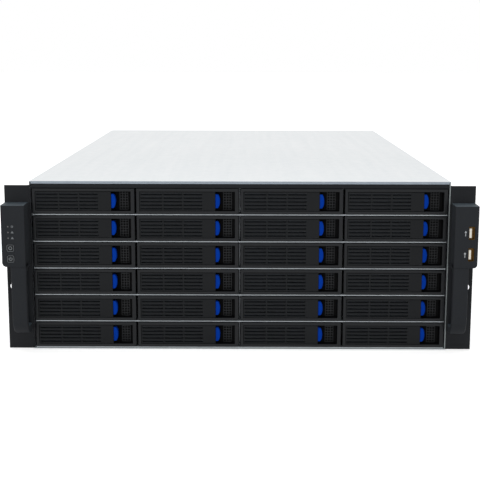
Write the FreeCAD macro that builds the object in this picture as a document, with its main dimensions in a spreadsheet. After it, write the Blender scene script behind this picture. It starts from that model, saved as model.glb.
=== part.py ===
import FreeCAD, Part
import math
import os
import re
import Sketcher

# A rackmount server case with twenty-four hot-swap drive trays, in millimetres.
# X runs to the right, Y from the front to the back and Z up.
# Every driving size is a cell of the sheet; everything else is worked out from those cells.

ROWS = 6
COLUMNS = 4
FANS = 3
CARD_SLOTS = 7
SLOT_GROUPS = 3
SLOTS_PER_GROUP = 5
BLADES = 5
PIN_FLATS = 6
LATCH_FLATS = 4
HUB_FLATS = 12
BORE_FLATS = 20

SIZES = {
    # case
    "rack_width": 482.6,
    "ear_width": 25.8,
    "case_height": 177.0,
    "case_depth": 688.0,
    "sheet": 1.2,
    "lip_height": 2.8,
    "flange_height": 12.8,
    "slide_play": 0.4,
    # rear panel
    "rear_margin": 11.0,
    "supply_width": 78.0,
    "supply_head": 9.6,
    "io_height": 44.5,
    "card_pitch": 20.32,
    "card_slot_width": 13.0,
    "card_slot_height": 108.0,
    "card_cover_width": 18.4,
    "card_margin": 17.52,
    # ears and header
    "ear_plate": 2.0,
    "ear_base": 0.5,
    "ear_drop": 4.5,
    "ear_leg": 60.0,
    "ear_leg_drop": 26.5,
    "rack_hole_inset": 8.75,
    "rack_hole_height": 66.675,
    "rack_slot_width": 6.8,
    "rack_slot_length": 12.0,
    "header_drop": 6.0,
    "header_leg": 24.0,
    # handles on the ears
    "handle_reach": 24.0,
    "handle_inset": 1.3,
    "box_width": 23.8,
    "box_low": 91.8,
    "box_high": 155.0,
    "bar_width": 15.6,
    "bar_thick": 7.0,
    "foot_low": 18.8,
    "foot_thick": 9.0,
    "foot_round": 19.0,
    "grip_round": 7.0,
    "edge_round": 1.5,
    "control_inset": 8.8,
    "socket_inset": 6.8,
    "button_size": 7.4,
    "button_play": 0.3,
    "button_depth": 6.0,
    "button_sunk": 0.2,
    "well_depth": 9.0,
    "power_height": 100.2,
    "reset_height": 111.3,
    "socket_width": 5.8,
    "socket_height": 13.2,
    "socket_depth": 12.0,
    "socket_wall": 0.5,
    "socket_low": 105.7,
    "socket_high": 127.7,
    # drive cage and trays
    "cage_play": 0.1,
    "cage_depth": 180.0,
    "upright_setback": 14.0,
    "tray_play": 0.4,
    "tray_back": 8.0,
    "tray_wall": 1.0,
    "tray_side": 19.0,
    "tray_ledge": 13.0,
    "tray_bar": 16.0,
    "fascia_proud": 2.0,
    "fascia_depth": 13.0,
    "fascia_edge": 3.0,
    "fascia_end": 3.9,
    "recess_width": 20.2,
    "mesh_depth": 10.0,
    "mesh_thick": 1.2,
    # lever and latch
    "lever_play": 0.35,
    "lever_sunk": 0.6,
    "lever_thick": 7.0,
    "lever_nose": 8.0,
    "pin_radius": 1.25,
    "pin_play": 0.06,
    "pin_reach": 1.8,
    "slot_height": 1.9,
    "slot_tail": 13.4,
    "slot_rib": 1.6,
    "slot_start": 1.0,
    "slot_lead": 3.1,
    "slot_depth": 2.2,
    "latch_width": 4.8,
    "latch_shoulder": 2.0,
    "latch_margin": 2.4,
    "latch_depth": 6.0,
    # backplanes and fans
    "board_thick": 1.6,
    "plug_width": 42.0,
    "plug_height": 8.0,
    "plug_depth": 6.0,
    "plug_low": 4.0,
    "board_height": 16.0,
    "fan_wall_gap": 52.0,
    "fan_size": 120.0,
    "fan_thick": 25.0,
    "fan_gap": 4.0,
    "fan_lift": 24.0,
    "fan_bore": 57.0,
    "fan_opening": 108.0,
    "hub_radius": 20.0,
    "hub_depth": 18.0,
    "axle_radius": 2.0,
    "axle_play": 0.06,
    "blade_radius": 53.0,
    "blade_thick": 1.8,
    "strut_width": 6.0,
    "strut_thick": 3.0,
}

DERIVED = {
    # the part is centred between the handle front and the rear face
    "centre_shift": "(handle_reach - case_depth) / 2",
    "half_rack": "rack_width / 2",
    "half_case": "half_rack - ear_width",
    "inner_half": "half_case - sheet",
    "cover_half": "inner_half - slide_play",
    "wall_top": "case_height - sheet",
    "flange_low": "wall_top - flange_height",
    "rear_top": "flange_low - slide_play",
    "rear_face": "case_depth - sheet",
    "supply_right": "inner_half - rear_margin",
    "supply_left": "supply_right - supply_width",
    "io_right": "supply_left - rear_margin",
    "card_first": f"card_margin - inner_half + card_cover_width / 2 + {CARD_SLOTS - 1} * card_pitch",
    "io_left": "card_first + card_pitch / 2 + rear_margin",
    "supply_top": "rear_top - supply_head",
    "vent_room": "rear_top - 3 * rear_margin - io_height",
    "vent_radius": "min((io_right - io_left) * 0.233, vent_room / 2)",
    "vent_height": "rear_margin * 2 + io_height + vent_radius",
    "cage_half": "inner_half - cage_play",
    "cage_top": "case_height - header_drop",
    "row_pitch": f"(cage_top - 2 * sheet) / {ROWS}",
    "column_pitch": f"(2 * cage_half - sheet) / {COLUMNS}",
    "bay_width": "column_pitch - sheet",
    "bay_height": "row_pitch - sheet",
    "header_high": "wall_top - lip_height + sheet - slide_play",
    "tray_length": "cage_depth - tray_back",
    "half_tray": "bay_width / 2 - tray_play",
    "tray_high": "bay_height - tray_play",
    "fascia_back": "fascia_depth - fascia_proud",
    "window_left": "-half_tray + fascia_edge",
    "window_right": "half_tray - fascia_end",
    "window_low": "tray_play + fascia_edge",
    "window_high": "tray_high - fascia_edge",
    "recess_left": "window_right - recess_width",
    "mesh_front": "mesh_depth - fascia_proud",
    "lever_left": "window_left + lever_play",
    "lever_low": "window_low + lever_play",
    "lever_high": "window_high - lever_play",
    "lever_front": "lever_sunk - fascia_proud",
    "pivot_x": "lever_left + lever_nose",
    "pivot_y": "lever_front + lever_thick / 2",
    "bay_middle": "bay_height / 2",
    "slot_span": "recess_left - lever_left - slot_start - slot_lead - slot_tail",
    "slot_length": f"(slot_span - {SLOT_GROUPS - 1} * slot_rib) / {SLOT_GROUPS}",
    "slot_pitch": f"(lever_high - lever_low) / ({SLOTS_PER_GROUP} + 0.27)",
    "latch_height": "lever_high - lever_low - 2 * latch_margin",
    "ear_top": "case_height - ear_drop",
    "rack_hole": "half_rack - rack_hole_inset",
    "handle_in": "half_case + handle_inset",
    "bar_out": "handle_in + bar_width",
    "box_out": "handle_in + box_width",
    "control_x": "box_out - control_inset",
    "socket_x": "box_out - socket_inset",
    "well_half": "button_size / 2 + button_play",
    "socket_half_x": "socket_width / 2 + button_play",
    "socket_half_z": "socket_height / 2 + button_play",
    "fan_wall": "cage_depth + fan_wall_gap",
    "fan_front": "fan_wall + sheet",
    "fan_pitch": f"2 * cover_half / {FANS} - fan_gap",
    "fan_height": "sheet + fan_lift + fan_size / 2",
}

doc = FreeCAD.newDocument("ServerCase")
sheet = doc.addObject("Spreadsheet::Sheet", "Sizes")
for line, (alias, size) in enumerate(SIZES.items(), 1):
    sheet.set(f"A{line}", alias)
    sheet.set(f"B{line}", str(size))
    sheet.setAlias(f"B{line}", alias)
doc.recompute()
nodes = []


def spell(text):
    """Writes a length given in size names as an expression on the sheet's cells."""

    def swap(match):
        word = match.group(0)
        if word == "min":
            return word
        if word in DERIVED:
            return "(" + spell(DERIVED[word]) + ")"
        return "Sizes." + word

    return re.sub(r"[a-z][a-z_]*", swap, text)


def value(text):
    """Works a length out from the sheet as it stands."""
    return float(sheet.evalExpression(spell(text)))


def bind(thing, prop, text):
    thing.setExpression(prop, spell(text))


def box(left, low, right, high):
    """The outline of an upright rectangle."""
    return [(left, low), (right, low), (right, high), (left, high)]


def square(x, y, half_x, half_y):
    """The outline of an upright rectangle about its centre."""
    return box(f"{x} - {half_x}", f"{y} - {half_y}", f"{x} + {half_x}", f"{y} + {half_y}")


def flats(x, y, radius, count):
    """The outline of an even-sided bar with its corners on a circle."""
    turns = [2 * math.pi * number / count for number in range(count)]
    return [(f"{x} + {radius} * {math.cos(t):.6f}", f"{y} + {radius} * {math.sin(t):.6f}") for t in turns]


def hold_points(sketch, holds):
    """Holds points of the sketch from its origin by a pair of sizes each."""
    start = sketch.ConstraintCount
    ties = []
    for element, point, x, y in holds:
        ties.append(Sketcher.Constraint("DistanceX", -1, 1, element, point, value(x)))
        ties.append(Sketcher.Constraint("DistanceY", -1, 1, element, point, value(y)))
    sketch.addConstraint(ties)
    for number, (element, point, x, y) in enumerate(holds):
        bind(sketch, f"Constraints[{start + 2 * number}]", x)
        bind(sketch, f"Constraints[{start + 2 * number + 1}]", y)


def close_loop(sketch, first, count):
    """Joins each of the lines to the next one, and the last to the first."""
    for number in range(count):
        after = first + (number + 1) % count
        sketch.addConstraint(Sketcher.Constraint("Coincident", first + number, 2, after, 1))


def draw_polygon(sketch, points):
    first = sketch.GeometryCount
    count = len(points)
    corners = [FreeCAD.Vector(value(x), value(y), 0) for x, y in points]
    sides = [Part.LineSegment(corners[i], corners[(i + 1) % count]) for i in range(count)]
    sketch.addGeometry(sides, False)
    close_loop(sketch, first, count)
    hold_points(sketch, [(first + i, 1, x, y) for i, (x, y) in enumerate(points)])


def draw_circle(sketch, x, y, radius):
    round_line = Part.Circle(FreeCAD.Vector(value(x), value(y), 0), FreeCAD.Vector(0, 0, 1), value(radius))
    element = sketch.addGeometry(round_line, False)
    tie = sketch.addConstraint(Sketcher.Constraint("Radius", element, value(radius)))
    bind(sketch, f"Constraints[{tie}]", radius)
    hold_points(sketch, [(element, 3, x, y)])


def draw_slot(sketch, left, right, y, radius):
    """Draws a level slot with round ends about two centres."""
    up = FreeCAD.Vector(0, 0, 1)
    near = FreeCAD.Vector(value(left), value(y), 0)
    far = FreeCAD.Vector(value(right), value(y), 0)
    size = value(radius)
    rise = FreeCAD.Vector(0, size, 0)
    quarter = math.pi / 2
    first = sketch.GeometryCount
    sketch.addGeometry(
        [
            Part.ArcOfCircle(Part.Circle(near, up, size), quarter, 3 * quarter),
            Part.LineSegment(near - rise, far - rise),
            Part.ArcOfCircle(Part.Circle(far, up, size), -quarter, quarter),
            Part.LineSegment(far + rise, near + rise),
        ],
        False,
    )
    joins = [Sketcher.Constraint("Tangent", first + i, 2, first + (i + 1) % 4, 1) for i in range(4)]
    joins.append(Sketcher.Constraint("Equal", first, first + 2))
    sketch.addConstraint(joins)
    tie = sketch.addConstraint(Sketcher.Constraint("Radius", first, size))
    bind(sketch, f"Constraints[{tie}]", radius)
    hold_points(sketch, [(first, 3, left, y), (first + 2, 3, right, y)])


def draw_nosed(sketch, x, low, high, end, radius):
    """Draws a level bar whose lower left corner is an arc about a centre midway between its long sides."""
    middle = f"({high} + {low}) / 2"
    centre = FreeCAD.Vector(value(x), value(middle), 0)
    turn = math.asin((value(middle) - value(low)) / value(radius))
    tip = value(f"{x} - {radius}")
    corners = [
        FreeCAD.Vector(centre.x - math.cos(turn) * value(radius), value(low), 0),
        FreeCAD.Vector(value(end), value(low), 0),
        FreeCAD.Vector(value(end), value(high), 0),
        FreeCAD.Vector(tip, value(high), 0),
        FreeCAD.Vector(tip, centre.y, 0),
    ]
    first = sketch.GeometryCount
    sides = [Part.LineSegment(corners[i], corners[i + 1]) for i in range(4)]
    circle = Part.Circle(centre, FreeCAD.Vector(0, 0, 1), value(radius))
    sketch.addGeometry(sides + [Part.ArcOfCircle(circle, math.pi, math.pi + turn)], False)
    close_loop(sketch, first, 5)
    tie = sketch.addConstraint(Sketcher.Constraint("DistanceY", -1, 1, first, 1, value(low)))
    bind(sketch, f"Constraints[{tie}]", low)
    hold_points(sketch, [(first + 1, 1, end, low), (first + 2, 1, end, high)])
    hold_points(sketch, [(first + 3, 1, f"{x} - {radius}", high), (first + 4, 1, f"{x} - {radius}", middle)])
    hold_points(sketch, [(first + 4, 3, x, middle)])


def new_body(label):
    body = doc.addObject("PartDesign::Body", label)
    body.Label = label
    return body


def new_sketch(body, axis, start):
    """Adds a sketch across an axis; start is the distance along that axis."""
    role = {"X": "YZ_Plane", "Y": "XZ_Plane", "Z": "XY_Plane"}[axis]
    plane = next(item for item in body.Origin.OriginFeatures if item.Role == role)
    sketch = body.newObject("Sketcher::SketchObject", "Sketch")
    sketch.AttachmentSupport = [(plane, "")]
    sketch.MapMode = "FlatFace"
    # the plane across Y looks to the front, so its own offset counts the other way
    bind(sketch, "AttachmentOffset.Base.z", f"-({start})" if axis == "Y" else start)
    return sketch


def run(body, kind, axis, start, length, outlines):
    """Pads or pockets outlines for a length along an axis, always towards its far end.

    An outline is a list of corner pairs, or a tuple of a drawing function and its sizes.
    """
    before = body.Shape.Volume if body.Tip else 0.0
    sketch = new_sketch(body, axis, start)
    for outline in outlines:
        if isinstance(outline, list):
            draw_polygon(sketch, outline)
        else:
            outline[0](sketch, *outline[1:])
    feature = body.newObject("PartDesign::" + kind, kind)
    feature.Profile = sketch
    feature.Reversed = (axis == "Y") == (kind == "Pad")
    bind(feature, "Length", length)
    doc.recompute()
    if (body.Shape.Volume > before) != (kind == "Pad"):
        raise ValueError(f"{body.Label}: {kind} at {start} runs the wrong way")
    return feature


def pad(body, axis, start, length, outlines):
    return run(body, "Pad", axis, start, length, outlines)


def pocket(body, axis, start, length, outlines):
    return run(body, "Pocket", axis, start, length, outlines)


def soften(body, kind, size, places):
    """Rounds or bevels the edges that lie at the given coordinates."""
    base = body.Tip
    names = []
    for place in places:
        spot = {axis: value(text) for axis, text in place.items()}
        for number, edge in enumerate(base.Shape.Edges, 1):
            ends = [vertex.Point for vertex in edge.Vertexes]
            if len(ends) == 2 and all(abs(getattr(p, a) - v) < 0.001 for p in ends for a, v in spot.items()):
                names.append(f"Edge{number}")
    feature = body.newObject("PartDesign::" + kind, kind)
    feature.Base = (base, names)
    bind(feature, "Radius" if kind == "Fillet" else "Size", size)
    doc.recompute()
    return feature


def copy_of(source, label, x="0", y="0", z="0"):
    """Adds a linked copy of an object, moved by three sizes."""
    link = doc.addObject("App::Link", label)
    link.LinkedObject = source
    link.Label = label
    for axis, text in zip("xyz", (x, y, z)):
        bind(link, f"Placement.Base.{axis}", text)
    return link


def group(label, members):
    bunch = doc.addObject("Part::Compound", label)
    bunch.Links = members
    bunch.Label = label
    return bunch


def keep(node):
    """Sets a finished sub-part in the frame of the whole and lists it for export."""
    bind(node, "Placement.Base.y", "centre_shift")
    nodes.append(node)


def build_chassis():
    """The tub of welded sheets: floor, two walls and rear panel, with the covers over the card slots."""
    floor = new_body("floor")
    pad(floor, "Y", "0", "case_depth", [box("-half_case", "0", "half_case", "sheet")])
    wall = new_body("wall")
    pad(wall, "Y", "0", "case_depth", [box("inner_half", "sheet", "half_case", "wall_top")])
    low = "rear_margin"
    panel = new_body("rear_panel")
    outlines = [box("-inner_half", "sheet", "inner_half", "rear_top")]
    outlines.append(box("supply_left", low, "supply_right", "supply_top"))
    outlines.append(box("io_left", low, "io_right", f"{low} + io_height"))
    for side in ("-", "+"):
        centre = f"(io_left + io_right) / 2 {side} vent_radius * 1.08"
        outlines.append((draw_circle, centre, "vent_height", "vent_radius"))
    cards = [f"card_first - {number} * card_pitch" for number in range(CARD_SLOTS)]
    for centre in cards:
        left = f"{centre} - card_slot_width / 2"
        right = f"{centre} + card_slot_width / 2"
        outlines.append(box(left, low, right, f"{low} + card_slot_height"))
    pad(panel, "Y", "rear_face", "sheet", outlines)
    cover = new_body("card_cover")
    half = "card_cover_width / 2"
    plate = box(f"-{half}", f"{low} - 3", half, f"{low} + card_slot_height + 9")
    pad(cover, "Y", "rear_face - sheet", "sheet", [plate])
    covers = [copy_of(cover, f"card_cover_{number}", x=centre) for number, centre in enumerate(cards, 1)]
    left_wall = copy_of(wall, "wall_left", x="-half_case - inner_half")
    keep(group("chassis", [floor, wall, left_wall, panel] + covers))


def build_cover():
    """The top cover: a plate with a lip at the front and flanges down its sides and back."""
    plate = new_body("cover_plate")
    outline = box("-half_case", "wall_top", "half_case", "case_height")
    pad(plate, "Y", "-sheet", "case_depth + sheet", [outline])
    lip = new_body("cover_lip")
    outline = box("-cover_half", "case_height - lip_height", "cover_half", "wall_top")
    pad(lip, "Y", "-sheet", "sheet", [outline])
    flange = new_body("side_flange")
    start = "cage_depth + fan_wall_gap / 4"
    outline = box("cover_half - sheet", "flange_low", "cover_half", "wall_top")
    pad(flange, "Y", start, f"rear_face - ({start})", [outline])
    other = copy_of(flange, "side_flange_left", x="sheet - 2 * cover_half")
    back = new_body("back_flange")
    pad(back, "Y", "rear_face", "sheet", [box("-cover_half", "flange_low", "cover_half", "wall_top")])
    keep(group("top_cover", [plate, lip, flange, other, back]))


def build_cage():
    """The cell-like cage: two side plates, shelves across and uprights between them, shelf edges proud."""
    depth = "cage_depth - upright_setback"
    side = new_body("cage_side")
    outline = box("-cage_half", "sheet", "sheet - cage_half", "cage_top")
    pad(side, "Y", "upright_setback", depth, [outline])
    other = copy_of(side, "cage_side_right", x="2 * cage_half - sheet")
    shelf = new_body("shelf")
    pad(shelf, "Y", "0", "cage_depth", [box("sheet - cage_half", "sheet", "cage_half - sheet", "2 * sheet")])
    upright = new_body("upright")
    outline = box("-cage_half", "2 * sheet", "sheet - cage_half", "2 * sheet + bay_height")
    pad(upright, "Y", "upright_setback", depth, [outline])
    members = [side, other]
    for row in range(ROWS + 1):
        members.append(copy_of(shelf, f"shelf_{row + 1}", z=f"{row} * row_pitch"))
    for row in range(ROWS):
        for column in range(1, COLUMNS):
            label = f"upright_{row + 1}_{column}"
            members.append(copy_of(upright, label, x=f"{column} * column_pitch", z=f"{row} * row_pitch"))
    keep(group("drive_cage", members))


def build_backplanes():
    """One board per row behind the cage, with a plug for every bay."""
    board = new_body("backplane")
    pad(board, "Y", "cage_depth", "board_thick", [box("-cage_half", "0", "cage_half", "board_height")])
    plug = new_body("plug")
    outline = box("-plug_width / 2", "plug_low", "plug_width / 2", "plug_low + plug_height")
    pad(plug, "Y", "cage_depth - plug_depth", "plug_depth", [outline])
    members = []
    for row in range(1, ROWS + 1):
        z = f"2 * sheet + {ROWS - row} * row_pitch"
        members.append(copy_of(board, f"backplane_{row}", z=z))
        for column in range(1, COLUMNS + 1):
            x = f"({column} - {(COLUMNS + 1) / 2}) * column_pitch"
            members.append(copy_of(plug, f"plug_r{row}c{column}", x=x, z=z))
    keep(group("backplanes", members))


def build_front_frame():
    """The two rack ears and the header strip between the walls."""
    members = []
    for name, side in (("ear_left", "-"), ("ear_right", "")):
        ear = new_body(name)
        angle = [
            (f"{side}half_rack", "0"),
            (f"{side}half_case", "0"),
            (f"{side}half_case", "ear_leg"),
            (f"{side}(half_case + ear_plate)", "ear_leg"),
            (f"{side}(half_case + ear_plate)", "ear_plate"),
            (f"{side}half_rack", "ear_plate"),
        ]
        pad(ear, "Z", "ear_base", "ear_top - ear_base", [angle])
        # the leg stops short of the flange plate at the top
        cut = box("ear_plate * 2", "case_height - ear_leg_drop", "ear_leg + 1", "ear_top + 1")
        start = "-half_case - ear_plate - 1" if side else "half_case - 1"
        pocket(ear, "X", start, "ear_plate + 2", [cut])
        centre = f"{side}rack_hole"
        reach = "(rack_slot_length - rack_slot_width) / 2"
        ends = (f"{centre} - {reach}", f"{centre} + {reach}")
        slot = (draw_slot, *ends, "rack_hole_height", "rack_slot_width / 2")
        pocket(ear, "Y", "-1", "ear_plate + 2", [slot])
        members.append(ear)
    header = new_body("header")
    angle = [
        ("-sheet", "cage_top - sheet"),
        ("0", "cage_top - sheet"),
        ("0", "header_high - sheet"),
        ("header_leg", "header_high - sheet"),
        ("header_leg", "header_high"),
        ("-sheet", "header_high"),
    ]
    pad(header, "X", "-cover_half", "2 * cover_half", [angle])
    keep(group("front_frame", members + [header]))


def build_handle(name, side):
    """One ear moulding: a bowed bar that runs down into a curved foot, and the control box above it."""
    handle = new_body(name)
    low = "foot_low"
    inner = "bar_thick - handle_reach"
    bow = [
        ("0", low),
        ("-handle_reach", low),
        ("-handle_reach", "box_high - bar_thick"),
        ("0", "box_high - bar_thick"),
        ("0", "box_low - bar_thick / 2"),
        (inner, "box_low - bar_thick / 2"),
        (inner, f"{low} + foot_thick"),
        ("0", f"{low} + foot_thick"),
    ]
    pad(handle, "X", "-bar_out" if side else "handle_in", "bar_width", [bow])
    soften(handle, "Fillet", "foot_round", [{"y": "-handle_reach", "z": low}])
    soften(
        handle,
        "Fillet",
        "grip_round",
        [{"y": inner, "z": f"{low} + foot_thick"}, {"y": inner, "z": "box_low - bar_thick / 2"}],
    )
    front = box(f"{side}handle_in", "box_low", f"{side}box_out", "box_high")
    pad(handle, "Y", "-handle_reach", "handle_reach", [front])
    soften(handle, "Fillet", "edge_round * 3", [{"x": f"{side}box_out", "z": "box_low"}])
    soften(
        handle,
        "Chamfer",
        "edge_round",
        [
            {"y": "-handle_reach", "z": "box_high"},
            {"y": "-handle_reach", "x": f"{side}box_out"},
            {"y": "-handle_reach", "x": f"{side}handle_in"},
            {"y": "-handle_reach", "x": f"{side}bar_out"},
        ],
    )
    return handle


def build_handles():
    """Both ear mouldings with wells for the buttons, and the two data sockets."""
    left = build_handle("handle_left", "-")
    wells = []
    for height in ("power_height", "reset_height"):
        wells.append(square("-control_x", height, "well_half", "well_half"))
    pocket(left, "Y", "-handle_reach", "well_depth", wells)
    right = build_handle("handle_right", "")
    wells = []
    for height in ("socket_low", "socket_high"):
        wells.append(square("socket_x", height, "socket_half_x", "socket_half_z"))
    pocket(right, "Y", "-handle_reach", "socket_depth + button_sunk", wells)
    socket = new_body("socket")
    front = "button_sunk - handle_reach"
    half_x = "socket_width / 2"
    half_z = "socket_height / 2"
    pad(socket, "Y", front, "socket_depth", [square("0", "0", half_x, half_z)])
    inside = square("0", "0", f"({half_x} - socket_wall)", f"({half_z} - socket_wall)")
    pocket(socket, "Y", front, "socket_depth - socket_wall", [inside])
    rise = f"({half_z} - 3 * socket_wall)"
    tongue = box(f"2 * socket_wall - {half_x}", f"-{rise}", "socket_wall", rise)
    pad(socket, "Y", f"{front} + 3 * socket_wall", "socket_depth - 3.5 * socket_wall", [tongue])
    sockets = [
        copy_of(socket, "socket_1", x="socket_x", z="socket_high"),
        copy_of(socket, "socket_2", x="socket_x", z="socket_low"),
    ]
    keep(group("ear_handles", [left, right] + sockets))


def build_button(name, height):
    """A square key with cut corners that sinks straight into its well."""
    key = new_body(name)
    half = "button_size / 2"
    pad(key, "Y", "button_sunk - handle_reach", "button_depth", [square("-control_x", height, half, half)])
    corners = []
    for across in ("-", "+"):
        for up in ("-", "+"):
            corners.append({"x": f"-control_x {across} {half}", "z": f"{height} {up} {half}"})
    soften(key, "Chamfer", "edge_round", corners)
    keep(key)


def build_tray():
    """One carrier with its moulded front; the origin is the middle of the bay floor at its front edge."""
    fascia = new_body("tray_front")
    frame = [
        box("-half_tray", "tray_play", "half_tray", "tray_high"),
        box("window_left", "window_low", "window_right", "window_high"),
    ]
    pad(fascia, "Y", "-fascia_proud", "fascia_depth", frame)
    # the recess at the right ends in a plate
    plate = box("recess_left", "window_low - 1", "window_right + 1", "window_high + 1")
    pad(fascia, "Y", "mesh_front", "mesh_thick", [plate])
    # the lever's pins are slipped in from behind along a notch over and under the window
    half = "(pin_radius + pin_play)"
    notch = box(f"pivot_x - {half}", f"pivot_y - {half}", f"pivot_x + {half}", "fascia_back + 1")
    pocket(fascia, "Z", "window_low - pin_reach", "window_high - window_low + 2 * pin_reach", [notch])
    # the drive rests on a ledge along each side and on a bar between them at the back
    ledge = new_body("ledge")
    outline = box("half_tray - tray_ledge", "fascia_back", "half_tray", "tray_length")
    pad(ledge, "Z", "tray_play", "tray_wall", [outline])
    bar = new_body("bar")
    inner = "(half_tray - tray_ledge)"
    outline = box(f"-{inner}", "tray_length - tray_bar", inner, "tray_length")
    pad(bar, "Z", "tray_play", "tray_wall", [outline])
    side = new_body("tray_side")
    outline = box("half_tray - tray_wall", "tray_play + tray_wall", "half_tray", "tray_play + tray_side")
    pad(side, "Y", "fascia_back", "tray_length - fascia_back", [outline])
    far_ledge = copy_of(ledge, "ledge_left", x="tray_ledge - 2 * half_tray")
    far_side = copy_of(side, "tray_side_left", x="tray_wall - 2 * half_tray")
    return group("tray_set", [fascia, bar, ledge, far_ledge, side, far_side])


def build_lever():
    """The slotted lever with its hinge pins, and the half-moon latch at its free end."""
    lever = new_body("lever")
    back = "lever_front + lever_thick"
    # the nose is rounded about the pins where it swings past the tray front
    plan = (draw_nosed, "pivot_x", "lever_front", back, "recess_left", "lever_nose")
    pad(lever, "Z", "lever_low", "lever_high - lever_low", [plan])
    # each slot is a louvre, deepest at its lower edge
    slots = []
    for step in range(SLOTS_PER_GROUP):
        low = f"bay_middle - slot_height / 2 + ({step - (SLOTS_PER_GROUP - 1) / 2}) * slot_pitch"
        high = f"{low} + slot_height"
        slots.append([("lever_front", low), ("lever_front + slot_depth", low), ("lever_front", high)])
    # the first group of slots is the longest
    pocket(lever, "X", "lever_left + slot_start", "slot_lead + slot_length", slots)
    for number in range(1, SLOT_GROUPS):
        left = f"lever_left + slot_start + slot_lead + {number} * (slot_length + slot_rib)"
        pocket(lever, "X", left, "slot_length", slots)
    pin = flats("pivot_x", "pivot_y", "pin_radius", PIN_FLATS)
    reach = "(lever_play + pin_reach - pin_play)"
    pad(lever, "Z", f"lever_low - {reach}", f"lever_high - lever_low + 2 * {reach}", [pin])
    # the latch keeps blunt ends and bulges between them
    latch = new_body("latch")
    half = "latch_height / 2"
    outline = [("recess_left", f"bay_middle + {half}"), ("recess_left", f"bay_middle - {half}")]
    for number in range(LATCH_FLATS + 1):
        turn = math.pi * (number / LATCH_FLATS - 0.5)
        x = f"recess_left + latch_shoulder + (latch_width - latch_shoulder) * {math.cos(turn):.6f}"
        outline.append((x, f"bay_middle + {half} * {math.sin(turn):.6f}"))
    pad(latch, "Y", "lever_front + (lever_thick - latch_depth) / 2", "latch_depth", [outline])
    return group("lever_set", [lever, latch])


def build_bays():
    """A tray and a lever in every bay, named by row from the top and column from the left."""
    tray = build_tray()
    lever = build_lever()
    for name, source in (("tray", tray), ("lever", lever)):
        for row in range(1, ROWS + 1):
            for column in range(1, COLUMNS + 1):
                x = f"({column} - {(COLUMNS + 1) / 2}) * column_pitch"
                z = f"2 * sheet + {ROWS - row} * row_pitch"
                keep(copy_of(source, f"{name}_r{row}c{column}", x=x, z=z))


def build_fans():
    """The fan wall with three frames, and a rotor on the axle of each."""
    wall = new_body("fan_wall_plate")
    centres = [f"{number - (FANS - 1) / 2} * fan_pitch" for number in range(FANS)]
    half = "(cover_half - sheet - 2 * slide_play)"
    plate = [box(f"-{half}", "sheet", half, "header_high - sheet")]
    reach = "fan_opening / 2"
    for centre in centres:
        plate.append(square(centre, "fan_height", reach, reach))
    pad(wall, "Y", "fan_wall", "sheet", plate)
    frame = new_body("fan_frame")
    side = "fan_size / 2"
    outline = [square("0", "0", side, side), flats("0", "0", "fan_bore", BORE_FLATS)]
    pad(frame, "Y", "0", "fan_thick", outline)
    base = "fan_thick - strut_thick"
    arm = "strut_width / 2"
    pad(frame, "Y", base, "strut_thick", [box("-fan_bore - 1", f"-{arm}", "fan_bore + 1", arm)])
    pad(frame, "Y", base, "strut_thick", [box(f"-{arm}", "-fan_bore - 1", arm, "fan_bore + 1")])
    pad(frame, "Y", base, "strut_thick", [flats("0", "0", "hub_radius", HUB_FLATS)])
    axle = flats("0", "0", "axle_radius", PIN_FLATS)
    pad(frame, "Y", "2 * strut_thick", f"{base} - strut_thick", [axle])
    frames = []
    for number, centre in enumerate(centres, 1):
        frames.append(copy_of(frame, f"fan_frame_{number}", x=centre, y="fan_front", z="fan_height"))
    keep(group("fan_wall", [wall] + frames))
    rotor = new_body("fan_rotor")
    top = f"({base} - 1)"
    pad(rotor, "Y", f"{top} - hub_depth", "hub_depth", [flats("0", "0", "hub_radius", HUB_FLATS)])
    start = "(2 * strut_thick - axle_radius / 2)"
    # the bore's flats clear the axle's corners, so the rotor turns freely
    bore = flats("0", "0", f"(axle_radius + axle_play) / {math.cos(math.pi / PIN_FLATS):.6f}", PIN_FLATS)
    pocket(rotor, "Y", start, f"{top} - {start}", [bore])
    # a blade is a slanted section run outward from inside the hub
    lean = "hub_radius / 2"
    blade = [
        (f"{top} - hub_depth + 1", f"-{lean}"),
        (f"{top} - hub_depth + 1 + blade_thick", f"-{lean}"),
        (f"{top} - 1", lean),
        (f"{top} - 1 - blade_thick", lean),
    ]
    first = pad(rotor, "X", "hub_radius * 0.7", "blade_radius - hub_radius * 0.7 + blade_thick", [blade])
    ring = rotor.newObject("PartDesign::PolarPattern", "Blades")
    ring.Originals = [first]
    ring.Axis = (next(item for item in rotor.Origin.OriginFeatures if item.Role == "Y_Axis"), [""])
    ring.Angle = 360
    ring.Occurrences = BLADES
    rotor.Tip = ring
    doc.recompute()
    # the tips are turned to one circle
    tips = [(draw_circle, "0", "0", "blade_radius"), (draw_circle, "0", "0", "blade_radius + hub_radius")]
    pocket(rotor, "Y", f"{top} - hub_depth", "hub_depth", [*tips])
    for number, centre in enumerate(centres, 1):
        copy = copy_of(rotor, f"fan_rotor_{number}", x=centre, z="fan_height")
        nodes.append(copy)
        bind(copy, "Placement.Base.y", "centre_shift + fan_front")


build_bays()
build_chassis()
build_cage()
build_front_frame()
build_handles()
build_cover()
build_button("power_button", "power_height")
build_button("reset_button", "reset_height")
build_backplanes()
build_fans()
doc.recompute()

for item in doc.Objects:
    if "Invalid" in item.State or "Error" in item.State:
        raise ValueError(f"{item.Label} did not compute: {item.State}")
os.makedirs("parts", exist_ok=True)
for node in nodes:
    shape = Part.getShape(node)
    if shape.isNull() or not shape.isValid():
        raise ValueError(f"{node.Label} has no valid shape")
    shape.exportStep(f"parts/{node.Label}.step")
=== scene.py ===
import logging
import math
from dataclasses import dataclass, field
from enum import Enum
from functools import partial
from typing import Callable, Iterable, Optional, Sequence

import bmesh
import bpy
from mathutils import Matrix, Vector


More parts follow.
